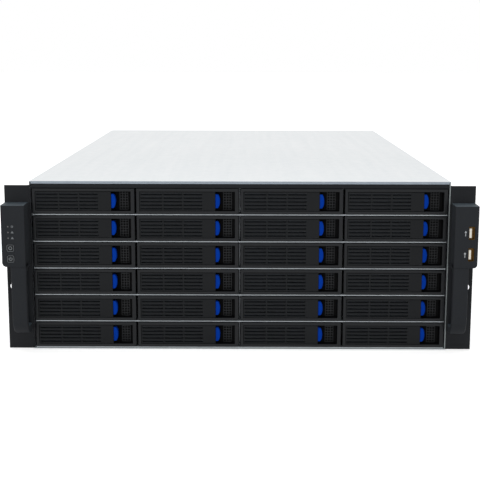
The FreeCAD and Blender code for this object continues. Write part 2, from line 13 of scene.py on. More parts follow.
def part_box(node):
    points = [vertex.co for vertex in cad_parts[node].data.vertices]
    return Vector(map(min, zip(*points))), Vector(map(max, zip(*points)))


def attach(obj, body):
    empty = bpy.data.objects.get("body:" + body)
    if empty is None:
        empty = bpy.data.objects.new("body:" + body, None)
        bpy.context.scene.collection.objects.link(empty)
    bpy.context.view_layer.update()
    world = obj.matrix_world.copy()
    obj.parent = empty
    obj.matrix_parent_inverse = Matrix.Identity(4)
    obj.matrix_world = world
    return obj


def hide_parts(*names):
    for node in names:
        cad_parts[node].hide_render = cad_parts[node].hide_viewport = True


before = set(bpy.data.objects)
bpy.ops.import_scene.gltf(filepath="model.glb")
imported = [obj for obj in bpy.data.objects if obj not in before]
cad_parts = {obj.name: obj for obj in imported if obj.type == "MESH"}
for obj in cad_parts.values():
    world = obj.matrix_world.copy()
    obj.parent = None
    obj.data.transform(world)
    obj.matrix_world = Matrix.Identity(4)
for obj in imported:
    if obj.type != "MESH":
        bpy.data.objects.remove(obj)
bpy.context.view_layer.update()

MM = 0.001
ROWS = 6
COLUMNS = 4
FAN_COUNT = 3
ROOT = "case"
# millimetres within which two places count as one
NEAR = 1e-4
# metres under which an edge counts as none
LEAST = 1e-6
# thickness of a print, in millimetres
PRINT = 0.06
# round in a printed frame's corners, as a share of half its side
SIGN_BEND = 0.4
# edges that bend more than this, in degrees, stay sharp to the eye
SHARP = 32
# edges that bend more than this, in radians, count as corners
CORNER = 0.5
# cosine past which an edge counts as lying along an axis
ALONG = 0.999
# degrees within which neighbouring CAD triangles count as one face
FLAT = 0.5
# decimals of a metre to which the CAD's corners are welded
WELD = 6
# depth of a bump as a share of the grain's size
BUMP_SHARE = 0.2
# how drawn metal and rolled sheet stretch their patterns along Y
DRAWN_STRETCH = (1.0, 0.05, 1.0)
ROLLED_STRETCH = (1.0, 0.04, 1.0)
# share of the coating's crystals in the mottle of rolled sheet
CRYSTAL_SHARE = 0.25
LOG = logging.getLogger("server_case")

BMesh = bmesh.types.BMesh
BMFace = bmesh.types.BMFace
BMEdge = bmesh.types.BMEdge
BMVert = bmesh.types.BMVert
NodeTree = bpy.types.NodeTree
NodeSocket = bpy.types.NodeSocket
Pair = tuple[float, float]
Outline = Sequence[Pair]
Well = tuple[float, float, float, float]
Point = tuple[float, float, float]


class Axis(Enum):
    """An axis of the frame, by its number."""

    X = 0
    Y = 1
    Z = 2


class Side(Enum):
    """A side of the case, by its sign along X."""

    LEFT = -1
    RIGHT = 1


def linear(hex_colour: str) -> tuple[float, float, float, float]:
    """Turns an sRGB hex colour into linear light.

    Args:
        hex_colour: six hex digits with a leading hash.

    Returns:
        Linear red, green, blue and an alpha of one.
    """
    parts = [int(hex_colour[i : i + 2], 16) / 255 for i in (1, 3, 5)]
    light = [p / 12.92 if p <= 0.04045 else ((p + 0.055) / 1.055) ** 2.4 for p in parts]
    return (light[0], light[1], light[2], 1.0)


def add_node(
    tree: NodeTree,
    kind: str,
    settings: Optional[dict] = None,
    inputs: Optional[dict] = None,
) -> bpy.types.Node:
    """Adds a shader node with its settings, socket values and incoming links.

    Args:
        tree: the material's node tree.
        kind: Blender's name for the node.
        settings: attributes of the node.
        inputs: socket name or number to a value, or to an output socket to link.

    Returns:
        The new node.
    """
    node = tree.nodes.new(kind)
    for name, setting in (settings or {}).items():
        setattr(node, name, setting)
    for name, given in (inputs or {}).items():
        if isinstance(given, NodeSocket):
            tree.links.new(given, node.inputs[name])
        else:
            node.inputs[name].default_value = given
    return node


def noise(tree: NodeTree, place: NodeSocket, scale: float, detail: float) -> NodeSocket:
    """Adds a noise pattern.

    Args:
        tree: the material's node tree.
        place: the coordinates it is laid on.
        scale: how many patches go into a metre.
        detail: how many finer layers it has.

    Returns:
        Its output socket, from zero to one.
    """
    inputs = {"Vector": place, "Scale": scale, "Detail": detail}
    return add_node(tree, "ShaderNodeTexNoise", inputs=inputs).outputs["Fac"]


class Grain(Enum):
    """How a surface was made, which decides the pattern it carries."""

    MOULDED = "moulded"
    POWDER = "powder coated"
    ZINC = "zinc coated sheet"
    DRAWN = "drawn or plated metal"


@dataclass(frozen=True)
class Finish:
    """One finish of the case, built as a node material the first time it is used.

    The two colours are mixed by a broad mottle, and the grain gives the bump.
    """

    name: str
    colour: str
    second: str
    grain: Grain
    grain_mm: float
    roughness: Pair
    metallic: float = 0.0
    bump: float = 0.2
    coat: float = 0.0
    specular: float = 0.5
    mottle_mm: float = 35.0

    def material(self) -> bpy.types.Material:
        """Returns the finish's material, making it if it isn't there yet."""
        found = bpy.data.materials.get(self.name)
        return found if found else self.build()

    def build(self) -> bpy.types.Material:
        """Builds the node material.

        Returns:
            The new material, named for the finish.
        """
        material = bpy.data.materials.new(self.name)
        material.use_nodes = True
        tree = material.node_tree
        shader = tree.nodes["Principled BSDF"]
        place = add_node(tree, "ShaderNodeTexCoord").outputs["Object"]
        mottle, grain = self.patterns(tree, place)
        ramp = add_node(
            tree,
            "ShaderNodeMix",
            {"data_type": "RGBA"},
            {"Factor": mottle, "A": linear(self.colour), "B": linear(self.second)},
        )
        tree.links.new(ramp.outputs["Result"], shader.inputs["Base Color"])
        low, high = self.roughness
        rough = add_node(tree, "ShaderNodeMapRange", inputs={"Value": mottle, "To Min": low, "To Max": high})
        tree.links.new(rough.outputs["Result"], shader.inputs["Roughness"])
        bump = add_node(
            tree,
            "ShaderNodeBump",
            inputs={"Height": grain, "Strength": self.bump, "Distance": self.grain_mm * MM * BUMP_SHARE},
        )
        tree.links.new(bump.outputs["Normal"], shader.inputs["Normal"])
        shader.inputs["Metallic"].default_value = self.metallic
        shader.inputs["Specular IOR Level"].default_value = self.specular
        shader.inputs["Coat Weight"].default_value = self.coat
        return material

    def patterns(self, tree: NodeTree, place: NodeSocket) -> tuple[NodeSocket, NodeSocket]:
        """Adds the broad mottle and the fine grain of the finish.

        Args:
            tree: the material's node tree.
            place: the object coordinates.

        Returns:
            The mottle's and the grain's output sockets, each from zero to one.
        """
        broad = 1 / (self.mottle_mm * MM)
        fine = 1 / (self.grain_mm * MM)
        if self.grain in (Grain.MOULDED, Grain.POWDER):
            return noise(tree, place, broad, detail=4.0), noise(tree, place, fine, detail=3.0)
        drawn = self.grain is Grain.DRAWN
        stretch = DRAWN_STRETCH if drawn else ROLLED_STRETCH
        along = add_node(tree, "ShaderNodeMapping", inputs={"Vector": place, "Scale": stretch}).outputs[0]
        if drawn:
            return noise(tree, along, fine, detail=2.0), noise(tree, place, fine, detail=3.0)
        # rolled zinc: long faint streaks from front to back, broken by the coating's crystals
        streak = noise(tree, along, broad, detail=5.0)
        crystal = add_node(tree, "ShaderNodeTexVoronoi", inputs={"Vector": place, "Scale": fine})
        mixed = add_node(
            tree,
            "ShaderNodeMix",
            {"data_type": "FLOAT"},
            {"Factor": CRYSTAL_SHARE, "A": streak, "B": crystal.outputs["Color"]},
        )
        return mixed.outputs["Result"], crystal.outputs["Distance"]


# zinc-coated steel sheet of the cover and the card slots: bright, soft streaks of the rolling
ZINC_SHEET = Finish(
    "galvanised_steel_cover", "#E6E8E9", "#D9DDDF", Grain.ZINC, 7.0, (0.32, 0.48), 0.8, 0.05, mottle_mm=9.0
)
# the same sheet on the body, greyer and with plainer crystals
ZINC_BODY = Finish(
    "galvanised_steel_body", "#A7ADB2", "#8F969C", Grain.ZINC, 8.0, (0.36, 0.52), 0.8, 0.08, mottle_mm=11.0
)
# the folded lips of the same sheet, which look to the front and the back: painted darker and bluer as shade,
# and duller
ZINC_LIP_SHADE = Finish(
    "painted_shade_steel_lip", "#929CA6", "#868F99", Grain.ZINC, 7.0, (0.34, 0.5), 0.7, bump=0.05, mottle_mm=9.0
)
# the same sheet where it was cut, bare and grey
ZINC_EDGE = Finish("cut_steel_edge", "#8E9494", "#7B8182", Grain.DRAWN, 1.5, (0.4, 0.55), 0.7, bump=0.06)
# the same sheet cut and spot-welded into the cage and the fan wall, duller
CAGE_SHEET = Finish(
    "galvanised_steel_cage", "#ACB1B5", "#999FA4", Grain.ZINC, 7.0, (0.34, 0.5), 0.8, bump=0.05, mottle_mm=9.0
)
# fine-textured black powder paint on the ears and the header; also laid on the left wall's front edge as
# painted shade
BLACK_POWDER = Finish(
    "black_powder_paint", "#111316", "#17191D", Grain.POWDER, 1.2, (0.44, 0.58), bump=0.25, specular=0.16
)
# moulded ABS of the tray fronts, spark-eroded matt
TRAY_ABS = Finish(
    "matt_black_tray_abs", "#131517", "#191B1E", Grain.MOULDED, 0.9, (0.42, 0.56), bump=0.2, specular=0.22
)
# black dip coat of the steel carriers behind the tray fronts
CARRIER_COAT = Finish(
    "black_dip_coated_steel", "#1A1B1D", "#222326", Grain.POWDER, 1.0, (0.38, 0.5), bump=0.12, specular=0.35
)
# moulded ABS of the levers and the keys, darker and smoother than the tray fronts
LEVER_ABS = Finish(
    "satin_black_lever_abs", "#0E1012", "#131518", Grain.MOULDED, 0.9, (0.42, 0.54), bump=0.18, specular=0.15
)
# the same ABS on the slopes of the louvres, which the tool leaves smooth, and painted lighter: a painted
# sheen
LOUVRE_SHEEN_ABS = Finish(
    "painted_sheen_louvre_abs", "#1E2124", "#24272B", Grain.MOULDED, 0.9, (0.34, 0.44), bump=0.08, specular=0.4
)
# moulded ABS of the handles, spark-eroded so matt that it hardly mirrors the floor
HANDLE_ABS = Finish(
    "matt_black_handle_abs", "#292B2E", "#2E3033", Grain.MOULDED, 1.1, (0.5, 0.62), bump=0.2, specular=0.04
)
# the same ABS on faces that look up, painted lighter: a painted highlight for the light that falls from above
LIT_TOP_ABS = Finish(
    "painted_highlight_handle_top", "#363F45", "#404950", Grain.MOULDED, 1.1, (0.5, 0.62), bump=0.2, specular=0.3
)
# blue acetal of the latches, smooth and waxy
BLUE_ACETAL = Finish(
    "blue_latch_acetal", "#023AA2", "#023396", Grain.MOULDED, 0.8, (0.4, 0.5), bump=0.08, specular=0.03
)
# dark perforated plate in the recess of each tray front; then the hollow behind it, near-black as painted
# shade
MESH_PLATE = Finish(
    "black_perforated_plate", "#1A1C1E", "#222427", Grain.POWDER, 0.8, (0.5, 0.62), bump=0.15, specular=0.3
)
RECESS_SHADE_BLACK = Finish(
    "painted_shade_recess", "#040405", "#070708", Grain.POWDER, 0.8, (0.6, 0.7), bump=0.1, specular=0.08
)
# nickel-plated screws and guards
NICKEL = Finish("nickel_plated_steel", "#C4C2BC", "#A9A7A0", Grain.DRAWN, 0.8, (0.26, 0.38), 1.0, bump=0.06)
# gilt contact strips and the brassy inside of the sockets: brass, darkened as painted shade inside the socket
SHADED_BRASS = Finish("painted_shade_gilt_brass", "#6A4F28", "#3E2F19", Grain.DRAWN, 0.7, (0.3, 0.42), 1.0, bump=0.06)
# pale tongue inside the sockets
PALE_NYLON = Finish("pale_socket_nylon", "#ECE9DF", "#DEDACD", Grain.MOULDED, 0.7, (0.4, 0.5), bump=0.06)
# grey-white pad-printed signs
WHITE_PRINT = Finish("white_pad_print", "#6E7275", "#5F6366", Grain.MOULDED, 0.5, (0.5, 0.6), bump=0.05)
# whiter pad print of the signs beside the sockets
PORT_PRINT = Finish("bright_pad_print", "#A6AAAD", "#979B9E", Grain.MOULDED, 0.5, (0.5, 0.6), bump=0.05)
# clear lamp pipes, unlit
LAMP_PIPE = Finish(
    "clear_lamp_pipe", "#4E4B4B", "#5A5655", Grain.MOULDED, 0.6, (0.18, 0.26), bump=0.03, coat=0.3
)
# green lacquered circuit board with black plugs
BOARD_GREEN = Finish("green_board_lacquer", "#0F4B2C", "#0C3F25", Grain.MOULDED, 1.4, (0.28, 0.4), bump=0.1)
PLUG_NYLON = Finish("black_plug_nylon", "#131314", "#1A1A1C", Grain.MOULDED, 0.9, (0.42, 0.55), bump=0.12)
# glass-filled nylon of the fans
FAN_NYLON = Finish("black_fan_nylon", "#161618", "#1D1D1F", Grain.MOULDED, 1.0, (0.45, 0.6), bump=0.15)
ROTOR_NYLON = Finish("grey_rotor_nylon", "#2A2B2D", "#333437", Grain.MOULDED, 1.0, (0.4, 0.55), bump=0.12)
# plain pale floor
PALE_FLOOR = Finish("pale_studio_floor", "#F4F4F4", "#F1F1F1", Grain.POWDER, 2.0, (0.7, 0.8), bump=0.0)


def piece(
    name: str,
    bm: BMesh,
    finishes: Sequence[Finish],
    body: str,
    replaces: Iterable[str] = (),
    paint: Optional[Callable[[BMFace], int]] = None,
) -> None:
    """Turns a finished bmesh into a piece that rides on a body.

    Args:
        name: the piece's name.
        bm: its mesh, in metres and in place; freed here.
        finishes: the finishes it carries.
        body: the CAD body that it moves with.
        replaces: CAD nodes that it stands for.
        paint: gives the number of the finish for a face, if there are several.
    """
    bmesh.ops.dissolve_degenerate(bm, dist=LEAST, edges=bm.edges[:])
    if paint:
        bm.normal_update()
        for face in bm.faces:
            face.material_index = paint(face)
    mesh = bpy.data.meshes.new(name)
    bm.to_mesh(mesh)
    bm.free()
    mesh.polygons.foreach_set("use_smooth", [True] * len(mesh.polygons))
    mesh.set_sharp_from_angle(angle=math.radians(SHARP))
    for finish in finishes:
        mesh.materials.append(finish.material())
    made = bpy.data.objects.new(name, mesh)
    bpy.context.scene.collection.objects.link(made)
    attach(made, body)
    nodes = list(replaces)
    if nodes:
        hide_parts(*nodes)
    LOG.info("%s: %d faces, rides on %s", name, len(mesh.polygons), body)


def soften(bm: BMesh, width: float, segments: int = 2, sharp: float = 30.0) -> None:
    """Rounds every sharp edge of a mesh.

    Args:
        bm: the mesh to change.
        width: the round's width, in the mesh's own unit.
        segments: steps across the round.
        sharp: the least angle, in degrees, that counts as sharp.
    """
    limit = math.radians(sharp)
    edges = [e for e in bm.edges if e.is_manifold and e.calc_face_angle(0.0) > limit]
    round_edges(bm, edges, width, segments)


def round_edges(bm: BMesh, edges: Sequence[BMEdge], width: float, segments: int = 3) -> None:
    """Rounds the given edges.

    Args:
        bm: the mesh to change.
        edges: its edges to round.
        width: the round's width, in the mesh's own unit.
        segments: steps across the round.
    """
    bmesh.ops.bevel(
        bm,
        geom=list(edges),
        offset=width,
        offset_type="OFFSET",
        segments=segments,
        profile=0.5,
        affect="EDGES",
        clamp_overlap=True,
        material=-1,
    )


def is_corner(edge: BMEdge) -> bool:
    """Tells whether two faces meet at an edge and form a corner there."""
    return edge.is_manifold and edge.calc_face_angle(0.0) > CORNER


def shift(bm: BMesh, step: Sequence[float]) -> None:
    """Moves a whole mesh by a step."""
    bmesh.ops.translate(bm, vec=step, verts=bm.verts[:])


def turn_about_y(bm: BMesh, angle: float, steps: int) -> None:
    """Spins a profile about the Y axis, and closes the sweep after a full turn.

    Args:
        bm: the profile, which grows into the sweep.
        angle: how far it turns, in radians.
        steps: number of stretches.
    """
    bmesh.ops.spin(
        bm,
        geom=bm.verts[:] + bm.edges[:],
        cent=(0, 0, 0),
        axis=(0, 1, 0),
        dvec=(0, 0, 0),
        angle=angle,
        steps=steps,
        use_merge=math.isclose(angle, math.tau),
    )


def edges_along(bm: BMesh, axis: Axis) -> list[BMEdge]:
    """Finds the sharp edges that run along an axis.

    Args:
        bm: the mesh.
        axis: the axis.

    Returns:
        The edges.
    """
    found = []
    for edge in bm.edges:
        way = (edge.verts[1].co - edge.verts[0].co).normalized()
        if abs(way[axis.value]) > ALONG and is_corner(edge):
            found.append(edge)
    return found


def solids_of(node: str) -> list[BMesh]:
    """Copies each solid of a CAD node into a welded mesh of its own.

    The node's triangles come solid by solid, and a solid is whole once each edge has met its twin.

    Args:
        node: the CAD node.

    Returns:
        The solids' meshes, in metres and in place.
    """
    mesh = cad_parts[node].data
    found: list[BMesh] = []
    verts: dict[tuple[float, ...], BMVert] = {}
    lone: set[tuple] = set()
    for polygon in mesh.polygons:
        corners = [tuple(round(c, WELD) for c in mesh.vertices[i].co) for i in polygon.vertices]
        if not lone:
            found.append(bmesh.new())
            verts = {}
        for corner in corners:
            if corner not in verts:
                verts[corner] = found[-1].verts.new(corner)
        found[-1].faces.new([verts[corner] for corner in corners])
        for edge in zip(corners, corners[1:] + corners[:1]):
            lone.symmetric_difference_update({min(edge, edge[::-1])})
    return found


def cad_copy(node: str, width_mm: float, segments: int = 2) -> BMesh:
    """Copies a CAD node's solids, merges their triangles and softens their edges.

    Args:
        node: the CAD node.
        width_mm: how wide each edge is rounded.
        segments: steps across the round.

    Returns:
        The copy, in metres and in place.
    """
    parts = solids_of(node)
    for bm in parts:
        bm.normal_update()
        bmesh.ops.dissolve_limit(bm, angle_limit=math.radians(FLAT), verts=bm.verts[:], edges=bm.edges[:])
        soften(bm, width_mm * MM, segments)
    return merge(parts)


def block(low: Sequence[float], high: Sequence[float], width: float = 0.0, segments: int = 2) -> BMesh:
    """Makes a box with rounded edges, in millimetres.

    Args:
        low: its lowest corner.
        high: its highest corner.
        width: the width of the rounds.
        segments: steps across a round.

    Returns:
        The box's mesh.
    """
    bm = bmesh.new()
    bmesh.ops.create_cube(bm, size=1.0)
    size = [b - a for a, b in zip(low, high)]
    middle = [(a + b) / 2 for a, b in zip(low, high)]
    bmesh.ops.scale(bm, vec=size, verts=bm.verts[:])
    shift(bm, middle)
    if width:
        soften(bm, width, segments)
    return bm


def thicken(bm: BMesh, step: Point) -> BMesh:
    """Grows an open sheet into a closed solid.

    Args:
        bm: the sheet to change.
        step: how far and which way it grows.

    Returns:
        The same mesh, with its faces pointing outwards.
    """
    grown = bmesh.ops.extrude_face_region(bm, geom=bm.faces[:])
    moved = [item for item in grown["geom"] if isinstance(item, BMVert)]
    bmesh.ops.translate(bm, vec=step, verts=moved)
    bmesh.ops.recalc_face_normals(bm, faces=bm.faces[:])
    return bm


def pierced_plate(
    xs: Sequence[float],
    zs: Sequence[float],
    holes: set[tuple[int, int]],
    front: float,
    back: float,
    corner: float = 0.0,
) -> BMesh:
    """Makes a plate across Y from a grid of cells, some of them cut through.

    Args:
        xs: the grid's lines across.
        zs: the grid's lines up.
        holes: column and row of each cell that is open.
        front: where the plate begins.
        back: where it ends.
        corner: the round in the corners of the holes.

    Returns:
        The plate's mesh, closed.
    """
    bm = bmesh.new()
    across = len(xs) - 1
    up = len(zs) - 1
    bmesh.ops.create_grid(bm, x_segments=across, y_segments=up, size=1.0)
    doomed = []
    for face in bm.faces:
        middle = face.calc_center_median()
        if (int((middle.x + 1) / 2 * across), int((middle.y + 1) / 2 * up)) in holes:
            doomed.append(face)
    for vert in bm.verts:
        column = round((vert.co.x + 1) / 2 * across)
        row = round((vert.co.y + 1) / 2 * up)
        vert.co = (xs[column], front, zs[row])
    bmesh.ops.delete(bm, geom=doomed, context="FACES")
    thicken(bm, (0, back - front, 0))
    if corner:
        inner = []
        for edge in bm.edges:
            a, b = (v.co for v in edge.verts)
            runs_through = abs(a.x - b.x) < NEAR and abs(a.z - b.z) < NEAR
            inside = xs[0] + NEAR < a.x < xs[-1] - NEAR and zs[0] + NEAR < a.z < zs[-1] - NEAR
            if runs_through and inside and is_corner(edge):
                inner.append(edge)
        round_edges(bm, inner, corner)
    return bm


def run_outline(outline: Outline, low: float, high: float, axis: Axis) -> BMesh:
    """Extrudes a closed outline along an axis.

    Args:
        outline: corner pairs; X and Z for axis Y, Y and Z for axis X.
        low: where the solid begins.
        high: where it ends.
        axis: X or Y.

    Returns:
        The solid's mesh.
    """
    bm = bmesh.new()
    if axis is Axis.X:
        verts = [bm.verts.new((low, a, b)) for a, b in outline]
        step = (high - low, 0, 0)
    else:
        verts = [bm.verts.new((a, low, b)) for a, b in outline]
        step = (0, high - low, 0)
    bm.faces.new(verts)
    return thicken(bm, step)


def merge(parts: Iterable[BMesh]) -> BMesh:
    """Puts several meshes into the first of them.

    Args:
        parts: the meshes; all but the first are freed.

    Returns:
        The first mesh with the others in it.
    """
    whole, *rest = list(parts)
    for part in rest:
        store = bpy.data.meshes.new("part")
        part.to_mesh(store)
        part.free()
        whole.from_mesh(store)
        bpy.data.meshes.remove(store)
    return whole


def settle(bm: BMesh, offset: Sequence[float] = (0, 0, 0)) -> BMesh:
    """Turns a mesh from millimetres to metres and moves it into place.

    Args:
        bm: the mesh in millimetres.
        offset: where its origin goes, in metres.

    Returns:
        The same mesh.
    """
    bmesh.ops.scale(bm, vec=(MM, MM, MM), verts=bm.verts[:])
    shift(bm, offset)
    return bm


def arc(centre: Pair, radius: float, start: float, end: float, steps: int) -> list[Pair]:
    """Gives points on an arc.

    Args:
        centre: the arc's centre.
        radius: its radius.
        start: first angle in degrees.
        end: last angle in degrees.
        steps: number of stretches.

    Returns:
        The points, both ends included.
    """
    turns = [math.radians(start + (end - start) * i / steps) for i in range(steps + 1)]
    return [(centre[0] + radius * math.cos(t), centre[1] + radius * math.sin(t)) for t in turns]


def ring_sign(x: float, z: float, radius: float, width: float, front: float, gap: float = 0.0) -> BMesh:
    """Makes a flat printed ring that looks to the front, open at the top by a gap.

    Args:
        x: its centre across.
        z: its centre up.
        radius: its middle radius.
        width: the width of the stroke.
        front: where the print lies.
        gap: the open angle in degrees.

    Returns:
        The ring's mesh.
    """
    bm = bmesh.new()
    start = Matrix.Rotation(math.radians(gap / 2), 3, "Y")
    ends = [bm.verts.new(start @ Vector((0, front, radius + side * width / 2))) for side in (-1, 1)]
    bm.edges.new(ends)
    turn_about_y(bm, math.radians(360 - gap), steps=28)
    thicken(bm, (0, PRINT, 0))
    shift(bm, (x, 0, z))
    return bm


def flat_sign(outline: Outline, x: float, z: float, front: float) -> BMesh:
    """Makes a flat print with straight sides that looks to the front.

    Args:
        outline: its corners, across and up from its middle.
        x: its middle across.
        z: its middle up.
        front: where the print lies.

    Returns:
        The print's mesh.
    """
    return run_outline([(x + a, z + b) for a, b in outline], front, front + PRINT, Axis.Y)


def frame_sign(x: float, z: float, half: float, width: float, front: float) -> BMesh:
    """Makes a flat printed square frame with rounded corners that looks to the front.

    Args:
        x: its centre across.
        z: its centre up.
        half: half its side.
        width: the width of the stroke.
        front: where the print lies.

    Returns:
        The frame's mesh.
    """
    bm = bmesh.new()
    bend = half * SIGN_BEND
    reach = half - bend
    outline: list[Pair] = []
    for turn, (across, up) in enumerate(((1, 1), (-1, 1), (-1, -1), (1, -1))):
        outline += arc((x + across * reach, z + up * reach), bend, turn * 90, turn * 90 + 90, steps=5)
    face = bm.faces.new([bm.verts.new((a, front, b)) for a, b in outline])
    bm.normal_update()
    bmesh.ops.inset_region(bm, faces=[face], thickness=width, use_boundary=True, use_even_offset=True)
    bmesh.ops.delete(bm, geom=[face], context="FACES")
    return thicken(bm, (0, PRINT, 0))


def rod(radius: float, length: float, sides: int) -> BMesh:
    """Makes a rod that stands on Z about the origin, in millimetres.

    Args:
        radius: its radius.
        length: its length.
        sides: the number of its flats.

    Returns:
        The rod's mesh.
    """
    bm = bmesh.new()
    bmesh.ops.create_cone(bm, cap_ends=True, segments=sides, radius1=radius, radius2=radius, depth=length)
    return bm


@dataclass(frozen=True)
class ScrewHead:
    """A domed screw head with a socket; sizes in millimetres, and shares of them."""

    radius: float
    height: float
    sides: int = 18
    taper: float = 0.86
    dome: float = 0.3
    wall: float = 0.34
    sunk: float = 0.6

    def mesh(self, centre: Sequence[float], axis: Sequence[float]) -> BMesh:
        """Makes the head.

        Args:
            centre: the middle of the seat under the head.
            axis: the way the head looks.

        Returns:
            The head's mesh in millimetres.
        """
        bm = bmesh.new()
        radius, height = self.radius, self.height
        top = radius * self.taper
        bmesh.ops.create_cone(
            bm, cap_ends=True, segments=self.sides, radius1=radius, radius2=top, depth=height
        )
        shift(bm, (0, 0, height / 2))
        rim = [e for e in bm.edges if all(v.co.z > height - NEAR for v in e.verts)]
        round_edges(bm, rim, height * self.dome, segments=2)
        crown = max(bm.faces, key=lambda f: f.calc_center_median().z)
        bmesh.ops.inset_region(bm, faces=[crown], thickness=radius * self.wall)
        floor = bmesh.ops.extrude_discrete_faces(bm, faces=[crown])["faces"][0]
        bmesh.ops.translate(bm, vec=(0, 0, -height * self.sunk), verts=floor.verts[:])
        turn = Vector((0, 0, 1)).rotation_difference(Vector(axis)).to_matrix().to_4x4()
        bmesh.ops.transform(bm, matrix=Matrix.Translation(centre) @ turn, verts=bm.verts[:])
        return bm


@dataclass(frozen=True)
class SocketBlock:
    """A block inside a data socket, in millimetres from the socket's middle and mouth."""

    left: float
    right: float
    half_height: float
    near: float
    far: float
    edge: float = 0.0
    segments: int = 2

    def mesh(self, x: float, mouth: float, height: float) -> BMesh:
        """Makes the block.

        Args:
            x: the socket's middle across.
            mouth: where the socket opens.
            height: the block's middle over the floor.

        Returns:
            The block's mesh in millimetres.
        """
        low = (x + self.left, mouth + self.near, height - self.half_height)
        high = (x + self.right, mouth + self.far, height + self.half_height)
        return block(low, high, self.edge, self.segments)


@dataclass(frozen=True)
class Bay:
    """One drive bay: its tray front's box at rest, read from the CAD node."""

    row: int
    column: int
    middle: Vector
    half_width: float
    height: float

    @property
    def mark(self) -> str:
        """The bay's place as it stands in the node names."""
        return f"r{self.row}c{self.column}"

    @property
    def tray(self) -> str:
        """The node and body of the bay's tray."""
        return f"tray_{self.mark}"

    @property
    def lever(self) -> str:
        """The node and body of the bay's lever."""
        return f"lever_{self.mark}"

    @classmethod
    def read(cls, row: int, column: int) -> "Bay":
        """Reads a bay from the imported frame.

        Args:
            row: counted from the top.
            column: counted from the left.

        Returns:
            The bay, its middle at the tray's front face and bottom edge.
        """
        low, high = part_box(f"tray_r{row}c{column}")
        middle = Vector(((low.x + high.x) / 2, low.y, low.z))
        return cls(row, column, middle, (high.x - low.x) / 2 / MM, (high.z - low.z) / MM)


